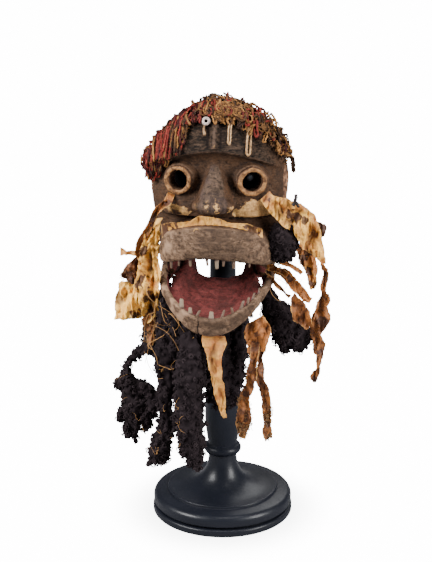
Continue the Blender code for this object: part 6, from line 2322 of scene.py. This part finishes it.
# Studio light: a soft window at each side, a lamp overhead and one behind, even light all round,
# and a white paper sweep under and behind the object.
def light(name, place, aim, size, power):
    data = bpy.data.lights.new(name, "AREA")
    data.shape = "RECTANGLE"
    data.size, data.size_y = size
    data.energy = power
    lamp = placed(name, data)
    way = Vector(aim) - Vector(place)
    lamp.matrix_world = Matrix.Translation(place) @ way.to_track_quat("-Z", "Y").to_matrix().to_4x4()


light("left_window", (-1.5, -0.95, 1.3), (0, 0, 0.36), (0.9, 0.9), 98)
light("right_window", (1.55, -0.72, 0.75), (0, 0, 0.36), (0.7, 1.1), 62)
light("overhead", (0.0, -0.45, 2.0), (0, 0, 0.3), (1.2, 0.9), 34)
light("rear", (0.6, 1.6, 1.5), (0, 0, 0.35), (1.2, 0.8), 16)
world = bpy.data.worlds.new("studio")
world.use_nodes = True
around = world.node_tree
ambience = around.nodes["Background"]
ambience.inputs[0].default_value = (1.0, 1.0, 1.0, 1.0)
ambience.inputs[1].default_value = 0.2
backdrop = around.nodes.new("ShaderNodeBackground")
backdrop.inputs[0].default_value = (1.0, 1.0, 1.0, 1.0)
backdrop.inputs[1].default_value = 16.0
sight = around.nodes.new("ShaderNodeLightPath")
either = around.nodes.new("ShaderNodeMixShader")
around.links.new(sight.outputs["Is Camera Ray"], either.inputs[0])
around.links.new(ambience.outputs[0], either.inputs[1])
around.links.new(backdrop.outputs[0], either.inputs[2])
around.links.new(either.outputs[0], around.nodes["World Output"].inputs[0])
bpy.context.scene.world = world


def floor_finish():
    """White paper that glows for the camera until it is almost without shade, with a painted shadow round
    the foot of the stand.
    """
    mix = Finish("white_sweep")
    tint = mix.blend(mix.grain(3, 2), (0.26, 0.26, 0.27), (0.29, 0.29, 0.3))
    paper = mix.set(Base_Color=tint, Roughness=0.9, Specular_IOR_Level=0.1)
    seen = mix.node("ShaderNodeLightPath", out="Is Camera Ray")
    flat = mix.stretched((1.0, 1.0, 0.0))
    away = mix.node("ShaderNodeVectorMath", {"operation": "LENGTH"}, {0: flat}, "Value")
    # painted shadow: the glow is dimmer close round the foot of the stand
    painted_contact_shadow = 0.45 + 0.55 * mix.step(away, 0.08, 0.15)
    glow = mix.node("ShaderNodeEmission", None, {"Color": (1.0, 1.0, 1.0), "Strength": 19.0 * painted_contact_shadow})
    end = [n for n in mix.tree.nodes if n.type == "OUTPUT_MATERIAL"][0]
    mixed = mix.node("ShaderNodeMixShader", None, {0: seen * 0.8})
    mix.tree.links.new(mix.surface.outputs[0], mixed.socket.node.inputs[1])
    mix.tree.links.new(glow.socket, mixed.socket.node.inputs[2])
    mix.tree.links.new(mixed.socket, end.inputs["Surface"])
    return paper


SWEEP_HALF_WIDTH = 7.0
SWEEP_FRONT = -6.0
SWEEP_BACK = 2.4
SWEEP_BEND = 1.2
SWEEP_TOP = 7.0
profile = [(SWEEP_FRONT, 0.0), (SWEEP_BACK, 0.0)]
for a in np.linspace(0.15, math.pi / 2, 10):
    profile.append((SWEEP_BACK + SWEEP_BEND * math.sin(a), SWEEP_BEND * (1 - math.cos(a))))
profile.append((SWEEP_BACK + SWEEP_BEND, SWEEP_TOP))
sweep = []
for reach, height in profile:
    sweep += [(-SWEEP_HALF_WIDTH, reach, height), (SWEEP_HALF_WIDTH, reach, height)]
strips = [(2 * k, 2 * k + 1, 2 * k + 3, 2 * k + 2) for k in range(len(profile) - 1)]
floor = piece_of("studio_floor", sweep, strips, floor_finish())
